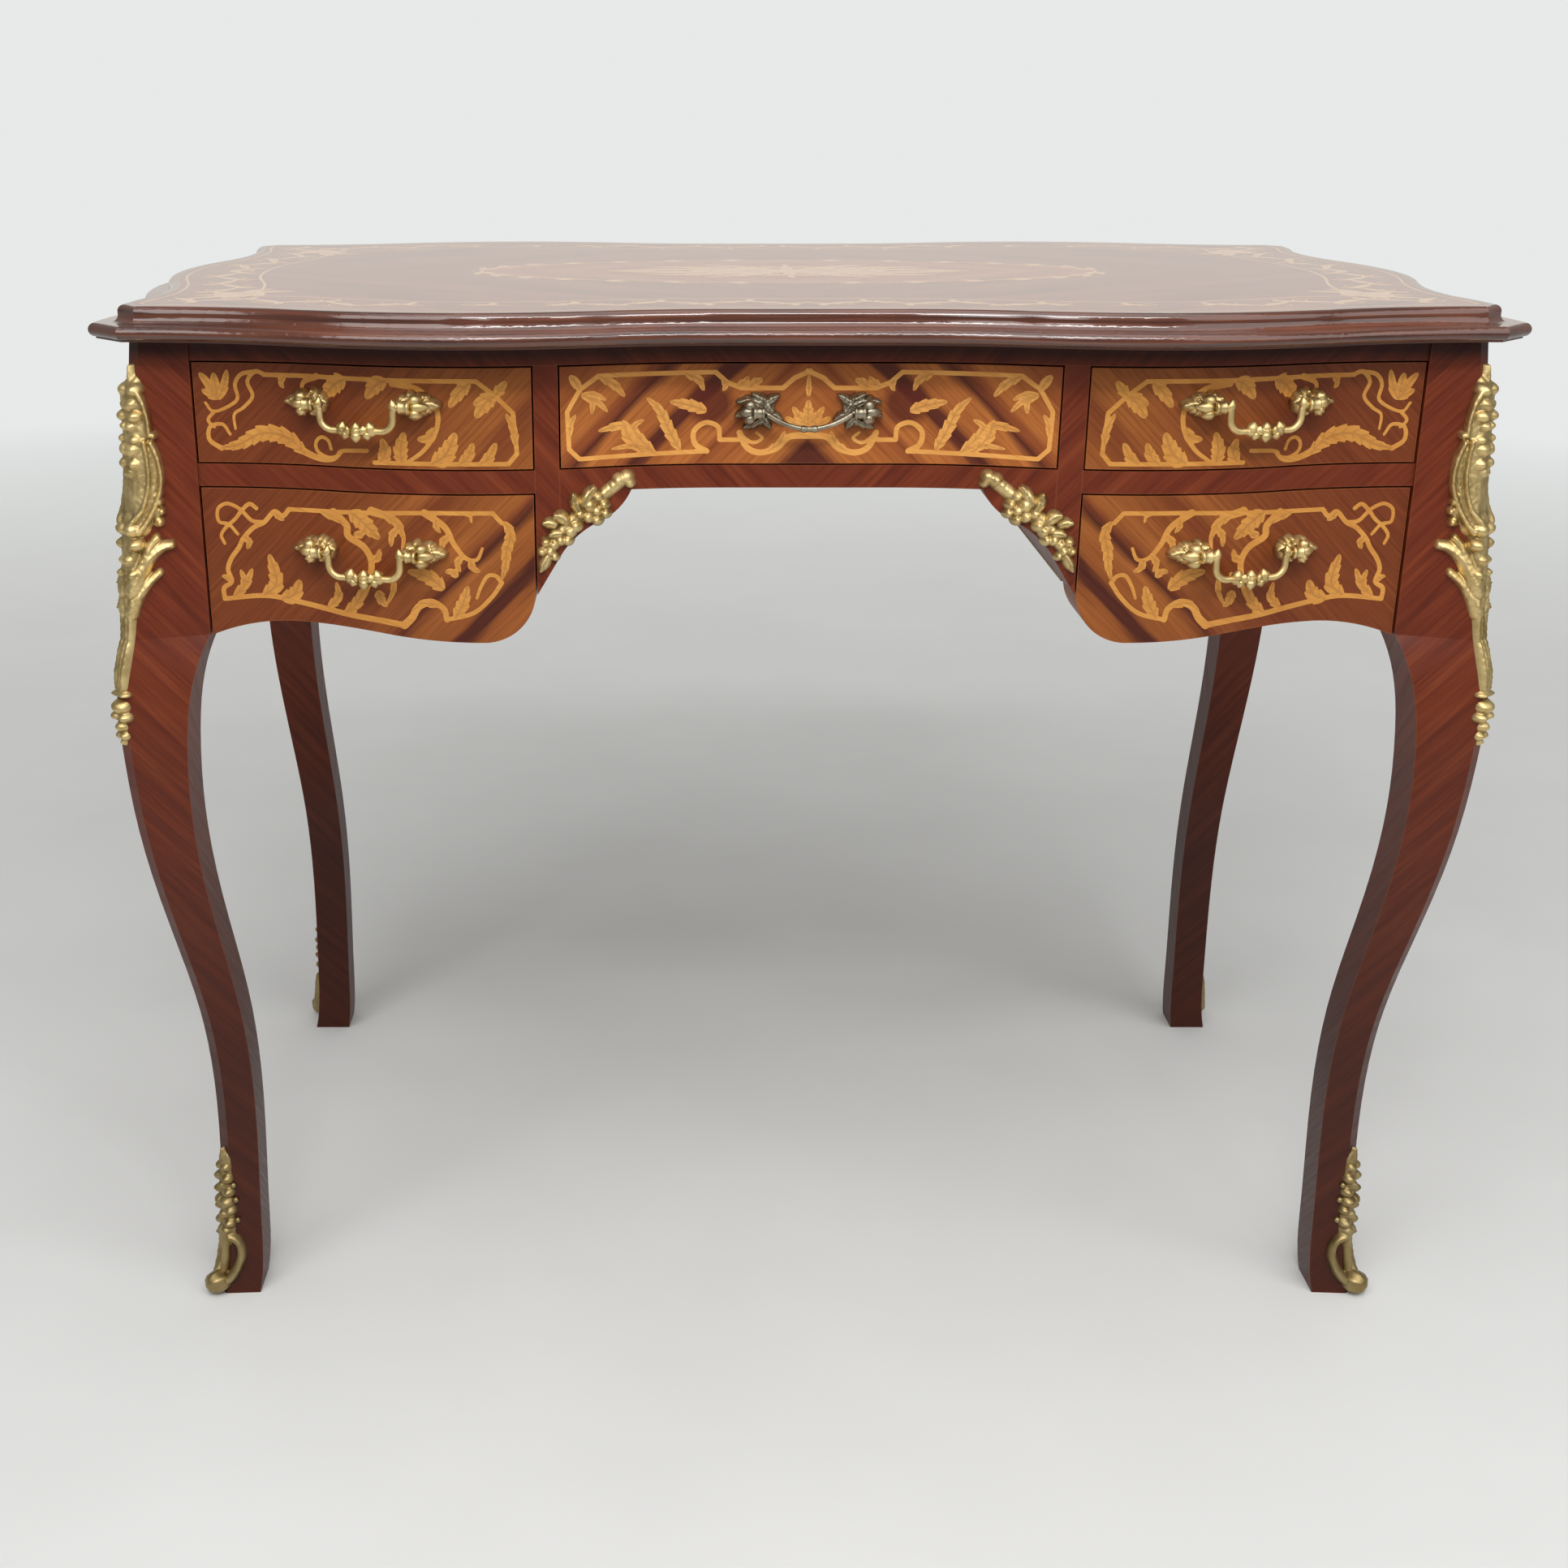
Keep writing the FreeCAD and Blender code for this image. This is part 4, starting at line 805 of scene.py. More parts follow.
def lower_marquetry():
    """Vine border that follows the scalloped edge, with hanging vines and leaves."""
    return [
        Stroke([(20, 98), (26, 105), (70, 105), (138, 103), (173, 103)], LINE, straight=True),
        Stroke([(173, 103), (178, 98), (184, 101), (192, 93), (200, 89), (208, 81), (212, 74), (218, 66),
                (221, 58), (219, 49), (225, 44), (225, 36)], 1.7),
        Stroke([(197, 103), (202, 106), (208, 101), (213, 95), (220, 89), (224, 83), (222, 77)], 1.5, 1.2),
        Stroke([(192, 93), (201, 94), (209, 102), (218, 106), (225, 102), (225, 93), (218, 91),
                (212, 84)], 1.5, 1.2),
        Stroke([(21, 55), (25, 60), (31, 60), (36, 52), (39, 44)], 1.6, 1.1),
        Stroke([(21, 55), (29, 44), (42, 33), (61, 28)], 1.6),
        Stroke([(61, 28), (63, 36), (72, 41), (81, 37), (86, 29), (92, 23)], 2.0, 2.9),
        Stroke([(91, 23), (111, 26), (135, 29), (167, 35), (194, 39), (225, 36)], 2.3, 1.7),
        Stroke([(74, 105), (60, 95), (54, 83), (46, 73), (38, 72), (34, 80)], 2.7, 1.1),
        Stroke([(46, 105), (42, 103), (41, 99)], 1.7, 0.9),
        Stroke([(112, 105), (97, 100), (90, 89), (91, 77)], 3.2, 1.1),
        Stroke([(140, 103), (131, 94), (130, 86), (119, 79), (114, 69), (116, 56), (122, 42),
                (136, 29)], 2.7, 2.0),
    ] + leaves([
        ((184, 101), (181, 97), (177, 95), 2.2, 2), ((207, 82), (204, 78), (206, 73), 2.6, 2),
        ((219, 49), (222, 52), (226, 53), 2.2, 2),
        ((18, 99), (14, 90), (17, 78), (18, 68), (21, 57), 4.2, 6), ((55, 29), (49, 40), (45, 53), 5, 4),
        ((66, 38), (76, 40), (86, 34), 3.2, 3), ((66, 100), (66, 95), (63, 91), 2.2, 2),
        ((104, 103), (94, 97), (89, 85), 3.6, 3), ((128, 104), (118, 96), (107, 85), 7, 5),
        ((150, 103), (141, 99), (133, 95), 2.6, 2), ((126, 88), (121, 88), (117, 92), 2.8, 2),
        ((114, 69), (109, 72), (107, 78), 2.8, 2), ((115, 60), (110, 58), (106, 61), 2.8, 2),
        ((93, 94), (98, 88), (99, 80), 2.8, 2), ((57, 89), (62, 84), (62, 77), 2.8, 2),
        ((48, 75), (52, 69), (50, 63), 2.6, 2), ((43, 72), (41, 66), (36, 63), 2.8, 2),
        ((52, 59), (56, 63), (61, 63), 3, 2), ((62, 50), (73, 59), (88, 63), 6, 4),
        ((98, 59), (99, 48), (104, 38), 2.2, 2), ((110, 48), (108, 41), (104, 36), 4, 3),
        ((135, 30), (126, 38), (118, 53), 4.4, 4), ((148, 33), (140, 41), (141, 52), 3.6, 3),
        ((183, 37), (173, 41), (168, 52), 6, 3), ((196, 39), (186, 49), (190, 70), 6, 5),
        ((218, 38), (209, 47), (203, 59), 3.6, 3), ((211, 44), (210, 51), (212, 58), 2.6, 2),
    ])


def centre_marquetry():
    """Shaped border with scrolls and a palmette, the same on both sides of the middle."""
    return both_sides([
        Stroke([(71, 10), (98, 9), (160, 7), (167, 14), (168, 40), (159, 55), (146, 64),
                (65, 65)], LINE, straight=True),
        Stroke([(65, 65), (57, 58), (47, 54), (18, 54), (10, 61), (-1, 66)], 1.7, straight=True),
        Stroke([(71, 10), (79, 15), (80, 24), (72, 30), (63, 27), (62, 18)], 2.0, 1.6),
        Stroke([(62, 18), (49, 18)], 1.6),
        Stroke([(48, 23), (43, 13), (34, 9), (22, 12), (13, 20), (-1, 21)], 2.1, 2.3),
        Stroke([(48, 22), (39, 16), (32, 19), (36, 23)], 1.5, 1.0),
    ] + leaves([
        ((159, 55), (162, 60), (166, 65), 3.6, 1), ((167, 22), (166, 31), (162, 38), 2.6, 2),
        ((60, 61), (58, 56), (60, 52), 2.4, 2), ((50, 55), (45, 58), (42, 62), 3, 2),
        ((42, 54), (37, 58), (32, 60), 3.6, 3), ((28, 10), (20, 15), (16, 24), 3, 3),
        ((0, 29), (0, 37), (0, 46), 4, 3), ((0, 28), (6, 34), (11, 41), 3.6, 3),
        ((0, 27), (8, 29), (16, 34), 3.4, 3), ((0, 48), (0, 55), (0, 63), 2, 2),
        ((90, 11), (98, 26), (104, 39), (113, 48), 4.6, 6), ((71, 38), (82, 42), (97, 45), 4.6, 4),
        ((108, 10), (118, 20), (122, 28), (115, 33), 3.6, 4),
        ((116, 10), (126, 21), (130, 29), (147, 26), 4.2, 5), ((106, 9), (120, 15), (138, 13), 2.6, 3),
        ((146, 64), (136, 58), (128, 49), 3.4, 3), ((86, 64), (77, 60), (73, 52), 3.2, 3),
        ((158, 51), (151, 47), (151, 38), 2.6, 2), ((158, 52), (148, 47), (140, 39), 2.6, 2),
        ((157, 52), (148, 51), (141, 47), 2.2, 2),
    ]))


def on_front(node, side, x_from, z_from):
    """Seats on a drawer front, found on its face."""
    face = surface(node)
    ahead_y = -1

    def seat(u, v):
        x, z = side * (x_from + u) * MM, (z_from + v) * MM
        spot = face.ray_cast(Vector((x, ahead_y, z)), -FORWARD)[0]
        return (spot or Vector((x, -face_line(x / MM) * MM, z))), FORWARD
    return seat


def lay_marquetry(level, tail, cutting, side, x_from, z_from):
    seat = on_front(f"{level}_drawer_front{tail}", side, x_from, z_from)
    build = Build()
    shell(build, cutting, [seat(*point) for point in cutting.points], INLAY_DEEP, INLAY_PROUD)
    build.piece(f"{level}_drawer_marquetry{tail}", f"drawer_{level}{tail}", "drawer_veneer", DRAWER_INLAY,
                smooth=False)


def drawer_marquetry():
    side_width, half_width, upper_tall, lower_tall = 237, 174, 72, 117
    upper = Cutting(drawn(upper_marquetry(), (0, side_width), (0, upper_tall), INLAY_STEP), 0.0)
    lower = Cutting(drawn(lower_marquetry(), (0, side_width), (0, lower_tall), INLAY_STEP), 0.0)
    centre = Cutting(drawn(centre_marquetry(), (-half_width, half_width), (0, upper_tall), INLAY_STEP), 0.0)
    for hand, side in HANDS:
        lay_marquetry("upper", f"_{hand}", upper, side, SIDE_INLAY_X, UPPER_INLAY_Z)
        lay_marquetry("lower", f"_{hand}", lower, side, SIDE_INLAY_X, LOWER_INLAY_Z)
    lay_marquetry("centre", "", centre, 1, 0, UPPER_INLAY_Z)


# Marquetry of the top, drawn in one quarter and matched four ways
TOP_STEP = 1.4
TOP_PROUD = 0.03
STRING_PROUD = 0.015
STRING_DEEP = 0.4
TIP = (500, 288)
CORNER_CANT = 26
SIDE_CURVE = [(0, 17), (172, -9)]
FRONT_SWELL = [(60, 17), (235, 42)]


def top_quarter(inset):
    """Outline of a quarter of the top, drawn in by a distance, from the middle of the front to the side."""
    front_steps, side_steps = 14, 12
    cant = max(CORNER_CANT - inset * (2 - math.sqrt(2)), 0)
    tip_x, arris_y = TIP[0] - inset, TIP[1] - inset
    arris_x, tip_y = tip_x - cant, arris_y - cant
    front = [FRONT_SWELL[0], FRONT_SWELL[1], (arris_x, 0)]
    side = [SIDE_CURVE[0], SIDE_CURVE[1], (tip_y, 0)]
    points = [(0, arris_y + front[0][1])]
    for start, end in zip(front, front[1:]):
        for x in np.linspace(start[0], end[0], front_steps)[:-1]:
            points.append((x, arris_y + ogee(x, start, end)))
    if cant:
        points.append((arris_x, arris_y))
    for end, start in ((side[2], side[1]), (side[1], side[0])):
        for y in np.linspace(end[0], start[0], side_steps)[:-1]:
            points.append((tip_x + ogee(y, start, end), y))
    points.append((tip_x + side[0][1], 0))
    return points


WAVE_STEPS = 12


def vine_along(path, sway, wave):
    """A path moved from side to side in even waves, with its directions ahead and to the left."""
    path = np.array(path, float)
    run = lengths(path)[1]
    waves = round(run[-1] / wave)
    places = np.linspace(0, run[-1], waves * WAVE_STEPS + 1)
    line = np.stack([np.interp(places, run, path[:, number]) for number in (0, 1)], 1)
    ahead = np.gradient(line, axis=0)
    ahead /= np.linalg.norm(ahead, axis=1)[:, None]
    normal = left_of(ahead)
    swing = np.sin(np.arange(len(places)) / WAVE_STEPS * 2 * np.pi)[:, None]
    return line + normal * swing * sway, ahead, normal


def stepped(start, ahead, aside, *steps):
    """A path from a start, with each step's distance ahead and aside."""
    return [start] + [start + ahead * far + aside * out for far, out in steps]


def border_marks():
    """A waving vine with two leaves and a tendril on each side of each wave."""
    inset, sway, wave = 66, 7, 62
    vine, ahead, normal = vine_along(top_quarter(inset), sway, wave)
    marks = [Stroke(vine, 2.0, straight=True)]
    crest = WAVE_STEPS // 4
    for number in range(crest, len(vine), 2 * crest):
        side = 1 if number % WAVE_STEPS == crest else -1
        sprig = vine[number], ahead[number], normal[number] * side
        marks += [Leaf(stepped(*sprig, (10, -6), (24, -11)), 4.6, 4),
                  Leaf(stepped(*sprig, (-6, 7), (-4, 15)), 3.6, 3),
                  Stroke(stepped(*sprig, (9, 8), (16, 4), (12, 0)), 1.1, 0.8)]
    return marks


def corner_marks():
    """A spray of leaves about a blossom."""
    corner, bend = np.array((404.0, 176.0)), 5
    marks = []
    for angle, long in ((20, 40), (45, 52), (70, 40), (110, 26), (-20, 26), (200, 34), (250, 34)):
        way = toward(angle)
        marks.append(Leaf(stepped(corner, way, left_of(way), (long / 2, bend), (long, 0)), 6, 5))
    return marks + [Flower(corner, 11, 6)]


def panel_marks():
    """An oval with leaves along it, about a sprig of larger leaves and a blossom."""
    marks = [Stroke([toward(angle) * OVAL for angle in range(-4, 97, 4)], 1.5, straight=True)]
    for angle in range(6, 90, 12):
        way = left_of(toward(angle)) * OVAL
        way /= np.linalg.norm(way)
        sprig = toward(angle) * OVAL, way, -left_of(way)
        marks += [Leaf(stepped(*sprig, (9, 5), (20, 7)), 3.8, 3),
                  Leaf(stepped(*sprig, (9, -5), (18, -8)), 3.4, 3)]
    for tip, wide in (((150, 0), 10), ((120, 34), 9), ((70, 52), 9), ((0, 60), 9)):
        tip = np.array(tip, float)
        bend = left_of(tip) * 0.08
        marks += [Leaf([tip * 0.1, tip * 0.55 + bend, tip], wide, 6),
                  Leaf([tip * 0.45, tip * 0.62 - bend * 3, tip * 0.75 - bend * 5], wide * 0.5, 3)]
    return marks + [Flower((0, 0), 22, 8)]


def lay_top():
    quarter_span, strings = ((0, 470), (0, 260)), ((34, 1.6), (92, 2.2))
    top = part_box("top_panel")[1].z
    marks = border_marks() + corner_marks() + panel_marks()
    cutting = Cutting(drawn(marks, *quarter_span, TOP_STEP), 0.0)
    seats = [(Vector((u * MM, v * MM, top)), UP) for u, v in cutting.points]
    build = Build()
    for side, end in ((1, 1), (-1, 1), (1, -1), (-1, -1)):
        shell(build, cutting, mirrored_seats(seats, side, end), INLAY_DEEP, TOP_PROUD)
    build.piece("top_marquetry", "carcass", "top_veneer", TOP_INLAY, smooth=False)
    lines = Build()
    level = top + (STRING_PROUD - STRING_DEEP / 2) * MM
    for inset, wide in strings:
        quarter = top_quarter(inset)
        ring = quarter + [(x, -y) for x, y in quarter[-2::-1]]
        ring += [(-x, y) for x, y in ring[-2:0:-1]]
        curve = line_object([(x * MM, y * MM, level) for x, y in ring], closed=True)
        lines.add(*STRINGING.shape(curve, Width=wide * MM, Height=STRING_DEEP * MM, Material=TOP_INLAY))
    lines.piece("top_stringing", "carcass", "top_veneer", TOP_INLAY, smooth=False)


# Cast mounts on the corners of the legs, drawn flat: across from the corner and up
CAST_STEP = 0.8
CAST_EDGE = -0.7
CAST_UNDER = 1.2
CAST_GROOVE = 0.9
CAST_CHASING = 0.28
CHASED_HEIGHT = 3
CHASE_ACROSS = (0.85, 1.4, 0.5)
CHASE_UP = (0.75, 1.2, 0.6)
# Darkening of the castings' lines and hollows: part dirt, part painted shade.
LINE_DIRT_AND_SHADE = 0.8
HOLLOW_DIRT_AND_SHADE_LEAST = 0.1
HOLLOW_DIRT_AND_SHADE_DEPTH = 2.2
HOLLOW_DIRT_AND_SHADE_REACH = 3.2
HALF_CANT = LEG_CANT * math.sqrt(0.5)


def wavy(along, aside, number, bend, bend_number):
    """A wave along one way, bent by a slower wave along the other."""
    return np.sin(number * along + bend * np.sin(bend_number * aside))


def cast(marks, u_span, v_span, step):
    """A drawing cut as a casting: sunk veins, an uneven chased skin, and dirt with painted shade in its lines and
    hollows.
    """
    field, lines, u_axis, v_axis = drawn(marks, u_span, v_span, step)
    u, v = np.meshgrid(u_axis, v_axis)
    chased = wavy(u, v, *CHASE_ACROSS) * wavy(v, u, *CHASE_UP)
    field = np.where(field > 0, field - CAST_GROOVE * lines, field)
    field += CAST_CHASING * chased * np.clip(field / CHASED_HEIGHT, 0, 1)
    ground = np.maximum(field, CAST_EDGE)
    around = ground
    reach = round(HOLLOW_DIRT_AND_SHADE_REACH / step)
    for axis in (0, 1):
        around = sum(np.roll(around, shift, axis) for shift in range(-reach, reach + 1)) / (2 * reach + 1)
    # Dirt with painted shade: darker where the skin lies below its surroundings.
    hollow = np.clip((around - ground) / HOLLOW_DIRT_AND_SHADE_DEPTH + HOLLOW_DIRT_AND_SHADE_LEAST, 0, 1)
    return Cutting((field, np.maximum(LINE_DIRT_AND_SHADE * lines, hollow), u_axis, v_axis), CAST_EDGE)


def on_corner():
    """Seats round the outer corner of the front right leg, found on its faces."""
    faces = surface("leg_front_right")
    lift, reach = 0.02, 0.05

    def seat(across, level):
        out, face, inner = (np.interp(level, LEG_LEVELS, row) for row in (LEG_OUT, LEG_FACE, LEG_IN))
        lean = math.atan2(out - face, out - LEG_CANT - inner)
        along = abs(across)
        turn = min(along / (2 * HALF_CANT), 1.0)
        turn = turn * turn * (3 - 2 * turn)
        angle = math.radians(45) + (math.radians(45) + lean) * turn
        flat = np.array((out - LEG_CANT / 2, out - LEG_CANT / 2))
        if along <= HALF_CANT:
            flat += np.array((-1, 1)) * along * math.sqrt(0.5)
        else:
            slope = np.array((math.cos(lean), math.sin(lean)))
            flat = np.array((out - LEG_CANT, out)) - slope * (along - HALF_CANT)
        way = np.array((math.cos(angle), math.sin(angle)))
        if across < 0:
            flat, way = flat[::-1], way[::-1]
        base = Vector(((LEG_INNER[0] + flat[0]) * MM, -(LEG_INNER[1] + flat[1]) * MM, level * MM))
        normal = Vector((way[0], -way[1], 0))
        spot = faces.ray_cast(base + normal * lift, -normal, reach)[0]
        return (spot or base), normal
    return seat


def knee_casting():
    """Two folded shells on a lumpy spine, hooked leaves, a slender fluted stem and a husk at its foot."""
    knobs = [(4.5, 743, 6.5, 8), (2, 733, 7, 7.6), (6, 725, 6, 8.2), (2.5, 718, 5, 7.4), (6.5, 709, 4.6, 7),
             (3, 702, 7, 7), (5.5, 692, 5.4, 6), (1.5, 686, 5.6, 5), (4, 646, 7, 8.2), (7.5, 635, 6, 8),
             (2, 624, 5.4, 7), (6, 614, 4.6, 6.6), (17.5, 712, 3.4, 7.5), (22.5, 665.5, 3.8, 6.8),
             (24, 658.5, 3.6, 6.8), (23, 651, 4.2, 6.8), (0, 517.5, 6.4, 7.4), (4, 510, 4.2, 6.2),
             (0, 502.5, 5, 6), (2.2, 495.5, 3.8, 5), (0, 490.5, 3.2, 4)]
    return both_sides(beads(knobs) + [
        Stroke([(0, 759), (0, 748)], 2.2, 3.8, 4.6),
        Stroke([(0, 744), (2, 720), (2.5, 690), (2, 660), (0, 640)], 9.5, 10, 5.4, 0.8),
        Stroke([(4, 741), (8, 728), (9, 712), (10, 695), (12, 678), (12, 662), (9, 648)], 5.5, 8.5, 3.8),
        Stroke([(15, 702), (18, 690), (18.5, 678), (16, 666), (10, 652)], 4.6, 5.0, 3.6),
        Stroke([(6, 744), (10, 735), (13.5, 723), (15, 712)], 2.6, 2.6, 7.2),
        Stroke([(16, 707), (20, 698), (22.6, 688), (23.4, 679), (22, 670), (17, 657), (9, 644)],
               2.8, 3.2, 7.0),
        Stroke([(11, 708), (14, 692), (14.5, 677), (11, 661), (5, 650)], 2.3, 2.5, 7.4),
        Stroke([(20, 669), (21.5, 650)], 3.2, 3.2, 4.5),
        Stroke([(0, 650), (0, 618)], 10, 10, 4.4),
        Stroke([(5, 602), (10, 615), (17, 627), (25, 633), (31, 634)], 8.5, 4.0, 5.8, 5.2),
        Stroke([(12, 622), (17, 634), (21, 639.5)], 5, 3.4, 5.2, 4.8),
        Stroke([(7, 606), (14, 622), (22, 630.5), (30, 633.6)], 1.5, 1.2, 7.6, 6.4),
        Stroke([(4, 586), (9, 598), (16, 608), (23.5, 614.5)], 6.4, 3.2, 5.0, 4.4),
        Stroke([(5, 588), (11, 601), (22, 613)], 1.3, 1.0, 6.4, 5.4),
        Stroke([(0, 626), (0, 529)], 11, 4.6, 3.4, 2.8),
        Stroke([(5.4, 612), (4.4, 580), (2.4, 531)], 1.9, 1.1, 4.9, 3.8),
        Stroke([(0, 622), (0, 533)], 1.3, 1.0, 4.9, 3.9),
        Stroke([(-5, 527), (5, 527)], 2.2, 2.2, 4.8),
    ])


def sabot_casting():
    """Openwork shoe: a lumpy leaf above two loops."""
    knobs = [(3, 114, 5, 6), (4.5, 104, 5.4, 6.8), (0, 97, 5.6, 7.2), (5.5, 92, 5.2, 6.8),
             (3, 82.5, 6.6, 8), (7, 75.5, 4.6, 6.6), (0, 70, 6, 7.2), (5.5, 63.5, 5.2, 6.8),
             (2, 56, 5.6, 7.2)]
    return both_sides(beads(knobs) + [
        Leaf([(0, 104), (0, 117), (0, 131)], 4.4, 3, 4.6),
        Stroke([(0, 120), (0, 50)], 7.5, 9.5, 3.6),
        Stroke([(0, 53), (7, 51), (13, 45.5), (16, 36), (14.5, 26), (10, 17), (3, 10)], 3.6, 5.2, 6.0, 8),
        Stroke([(0, 52), (0, 12)], 3.2, 4, 4.8, 7),
    ])


def toe(build, seat, side, end):
    """A rounded, fluted toe that curls out of the corner of the foot, and pearls up both faces above it."""
    level, sunk, sides, flutes, flute = 10.8, 4, 24, 6, 0.07
    profile = [(0, 0.6), (1.5, 5.4), (5, 8.4), (10.5, 9.7), (16, 8.8), (20, 6), (22, 1)]
    base, normal = mirrored_seats([seat(0, level)], side, end)[0]
    build.add(*lathe(profile, base - normal * sunk * MM, normal, sides, flutes, flute))
    size, lift = 2.5, 1.2
    for way in (1, -1):
        row = [seat(across * way, level) for across, level in ((9.2, 98.5), (10.6, 85), (11.4, 66.5))]
        spots = [base + normal * lift * MM for base, normal in mirrored_seats(row, side, end)]
        build.add(*PEARLS.shape(line_object(spots), Radius=size * MM, Material=FINISH["gilt_brass"]))


def mount(build, node):
    """The finished casting, in the place of its plain solid."""
    build.piece(f"{node}_casting", "carcass", "gilt_brass", FINISH["gilt_brass"], (node,))


def corner_castings():
    seat = on_corner()
    for stem, marks, levels, half in (("knee_mount", knee_casting(), (485, 762), 39),
                                      ("sabot", sabot_casting(), (0.5, 132), 29)):
        cutting = cast(marks, (-half, half), levels, CAST_STEP)
        seats = [seat(*point) for point in cutting.points]
        for end_name, end in ENDS:
            for hand, side in HANDS:
                build = Build()
                shell(build, cutting, mirrored_seats(seats, side, end), CAST_UNDER)
                if stem == "sabot":
                    toe(build, seat, side, end)
                mount(build, f"{stem}_{end_name}_{hand}")


def spandrel_casting():
    """Knobbly blossoms and leaves down the slope of a kneehole corner, across from the middle and up."""
    knobs = [(127, 683.5, 5.8, 6), (132.5, 681.5, 5.8, 6.5), (125, 680, 4.5, 5.5), (136.5, 678, 4.5, 5.2),
             (153, 665, 6.8, 8.5), (147, 671, 5.2, 7.5), (143, 665.5, 5.2, 7.5), (148, 661, 5.2, 7.4),
             (142, 659, 4.5, 6.8), (154, 657, 5.2, 7), (148, 654.5, 4.8, 6.5), (160, 659.5, 5.2, 7.2),
             (163, 651, 5.5, 7.2), (167, 647, 5.2, 7.2), (169, 641, 4.8, 7), (174, 641, 4.8, 7.4),
             (184, 640, 5.0, 7), (178.5, 638, 4.5, 6.6), (181, 633.5, 4.5, 6.8), (187, 633.5, 4.0, 6.2),
             (178, 629.5, 3.8, 5.6)]
    return beads(knobs) + [
        Stroke([(133, 680), (152, 665), (170, 650), (183, 634)], 5, 5, 4),
        Leaf([(160, 660), (163, 667), (164.5, 675)], 5.9, 1, 7),
        Leaf([(158, 665), (154, 672), (149, 679)], 6.4, 1, 8),
        Leaf([(176, 652), (181, 653.5), (187, 654)], 5.3, 1, 7),
        Leaf([(168, 653), (173, 657.5), (179, 659.5)], 6.4, 1, 7.6),
        Leaf([(172, 646), (177, 646), (182.5, 645)], 5.3, 1, 7.2),
        Leaf([(182, 631), (185, 625.5), (188.8, 618.5)], 5.0, 1, 6),
    ]


def kneehole_castings():
    across, up, step = (116, 194), (612, 690), 0.7
    cutting = cast(spandrel_casting(), across, up, step)
    seats = [(Vector((u * MM, -face_line(u) * MM, v * MM)), FORWARD) for u, v in cutting.points]
    for hand, side in HANDS:
        build = Build()
        shell(build, cutting, mirrored_seats(seats, side, 1), CAST_UNDER)
        mount(build, f"spandrel_mount_{hand}")


# Handles: leaf plates with posts, and bails that hang from them
POST = 35
STANDOFF = 15
SHOULDER = 30.6
BEND = 4
CORNER = 9
SIDE_DROP = 17
CENTRE_DROP = 11
ROD_RADIUS = 2.4
CENTRE_ROD = 1.8
PIN_RADIUS = 1.8
EYE_RADIUS = 1.88
DRAWER_BACK_Y = -238


class HandlePlace:
    """A handle's own directions: along its pivot line, outward from the drawer, and up."""
    def __init__(self, drawer):
        joint = next(joint for joint in frame["joints"] if joint["name"] == f"bail_{drawer}_swing")
        self.origin = Vector(joint["pos_m"])
        self.along = -Vector(joint["axis"]).normalized()
        self.out = self.along.cross(UP)

    def at(self, along, out, up):
        return self.origin + (self.along * along + self.out * out + UP * up) * MM


def side_plate():
    """A knobbly pointed bud about the right post, across from the middle of the handle and up."""
    knobs = [(41, 4.8, 4, 9.6), (41.5, -4.6, 4, 9.6), (47, 1.4, 3.8, 8.6), (35.5, 7.2, 3.4, 8),
             (36, -7.2, 3.4, 8), (29.5, 4.4, 3.4, 7.4), (29.5, -4.4, 3.4, 7.4), (47.5, -3.6, 2.8, 7),
             (47, 5.6, 2.6, 6.6)]
    return [
        Leaf([(24, 0), (36, 0), (45, 0.5), (57, 0)], 10, 3, 8),
        Bead((POST, 0), 6.4, 10),
        Leaf([(44, 0.5), (50, 0.5), (57, 0)], 3.6, 2, 7.6),
    ] + beads(knobs)


def centre_plate():
    """A ragged acanthus spray about the right post of the centre handle."""
    return [
        Leaf([(25, -3), (32, 6), (40, 12)], 6, 4, 7),
        Leaf([(29, 1), (39, 6), (51, 6)], 5.4, 4, 7),
        Leaf([(31, -2), (41, -1), (52, -4)], 5.4, 4, 7),
        Leaf([(31, -5), (38, -9), (46, -12)], 5, 3, 6.6),
        Leaf([(32, -5), (29, -9), (26, -13)], 4.4, 3, 6.4),
        Leaf([(31, 3), (25, 8), (20, 11)], 4.4, 3, 6.4),
        Leaf([(30, -2), (23, -4), (17, -8)], 4, 3, 6),
        Bead((POST, 0), 6.5, 8.6),
        Bead((41, 5), 3.2, 8),
        Bead((41, -5), 3.2, 8),
        Bead((31, 8), 3, 7.4),
    ]


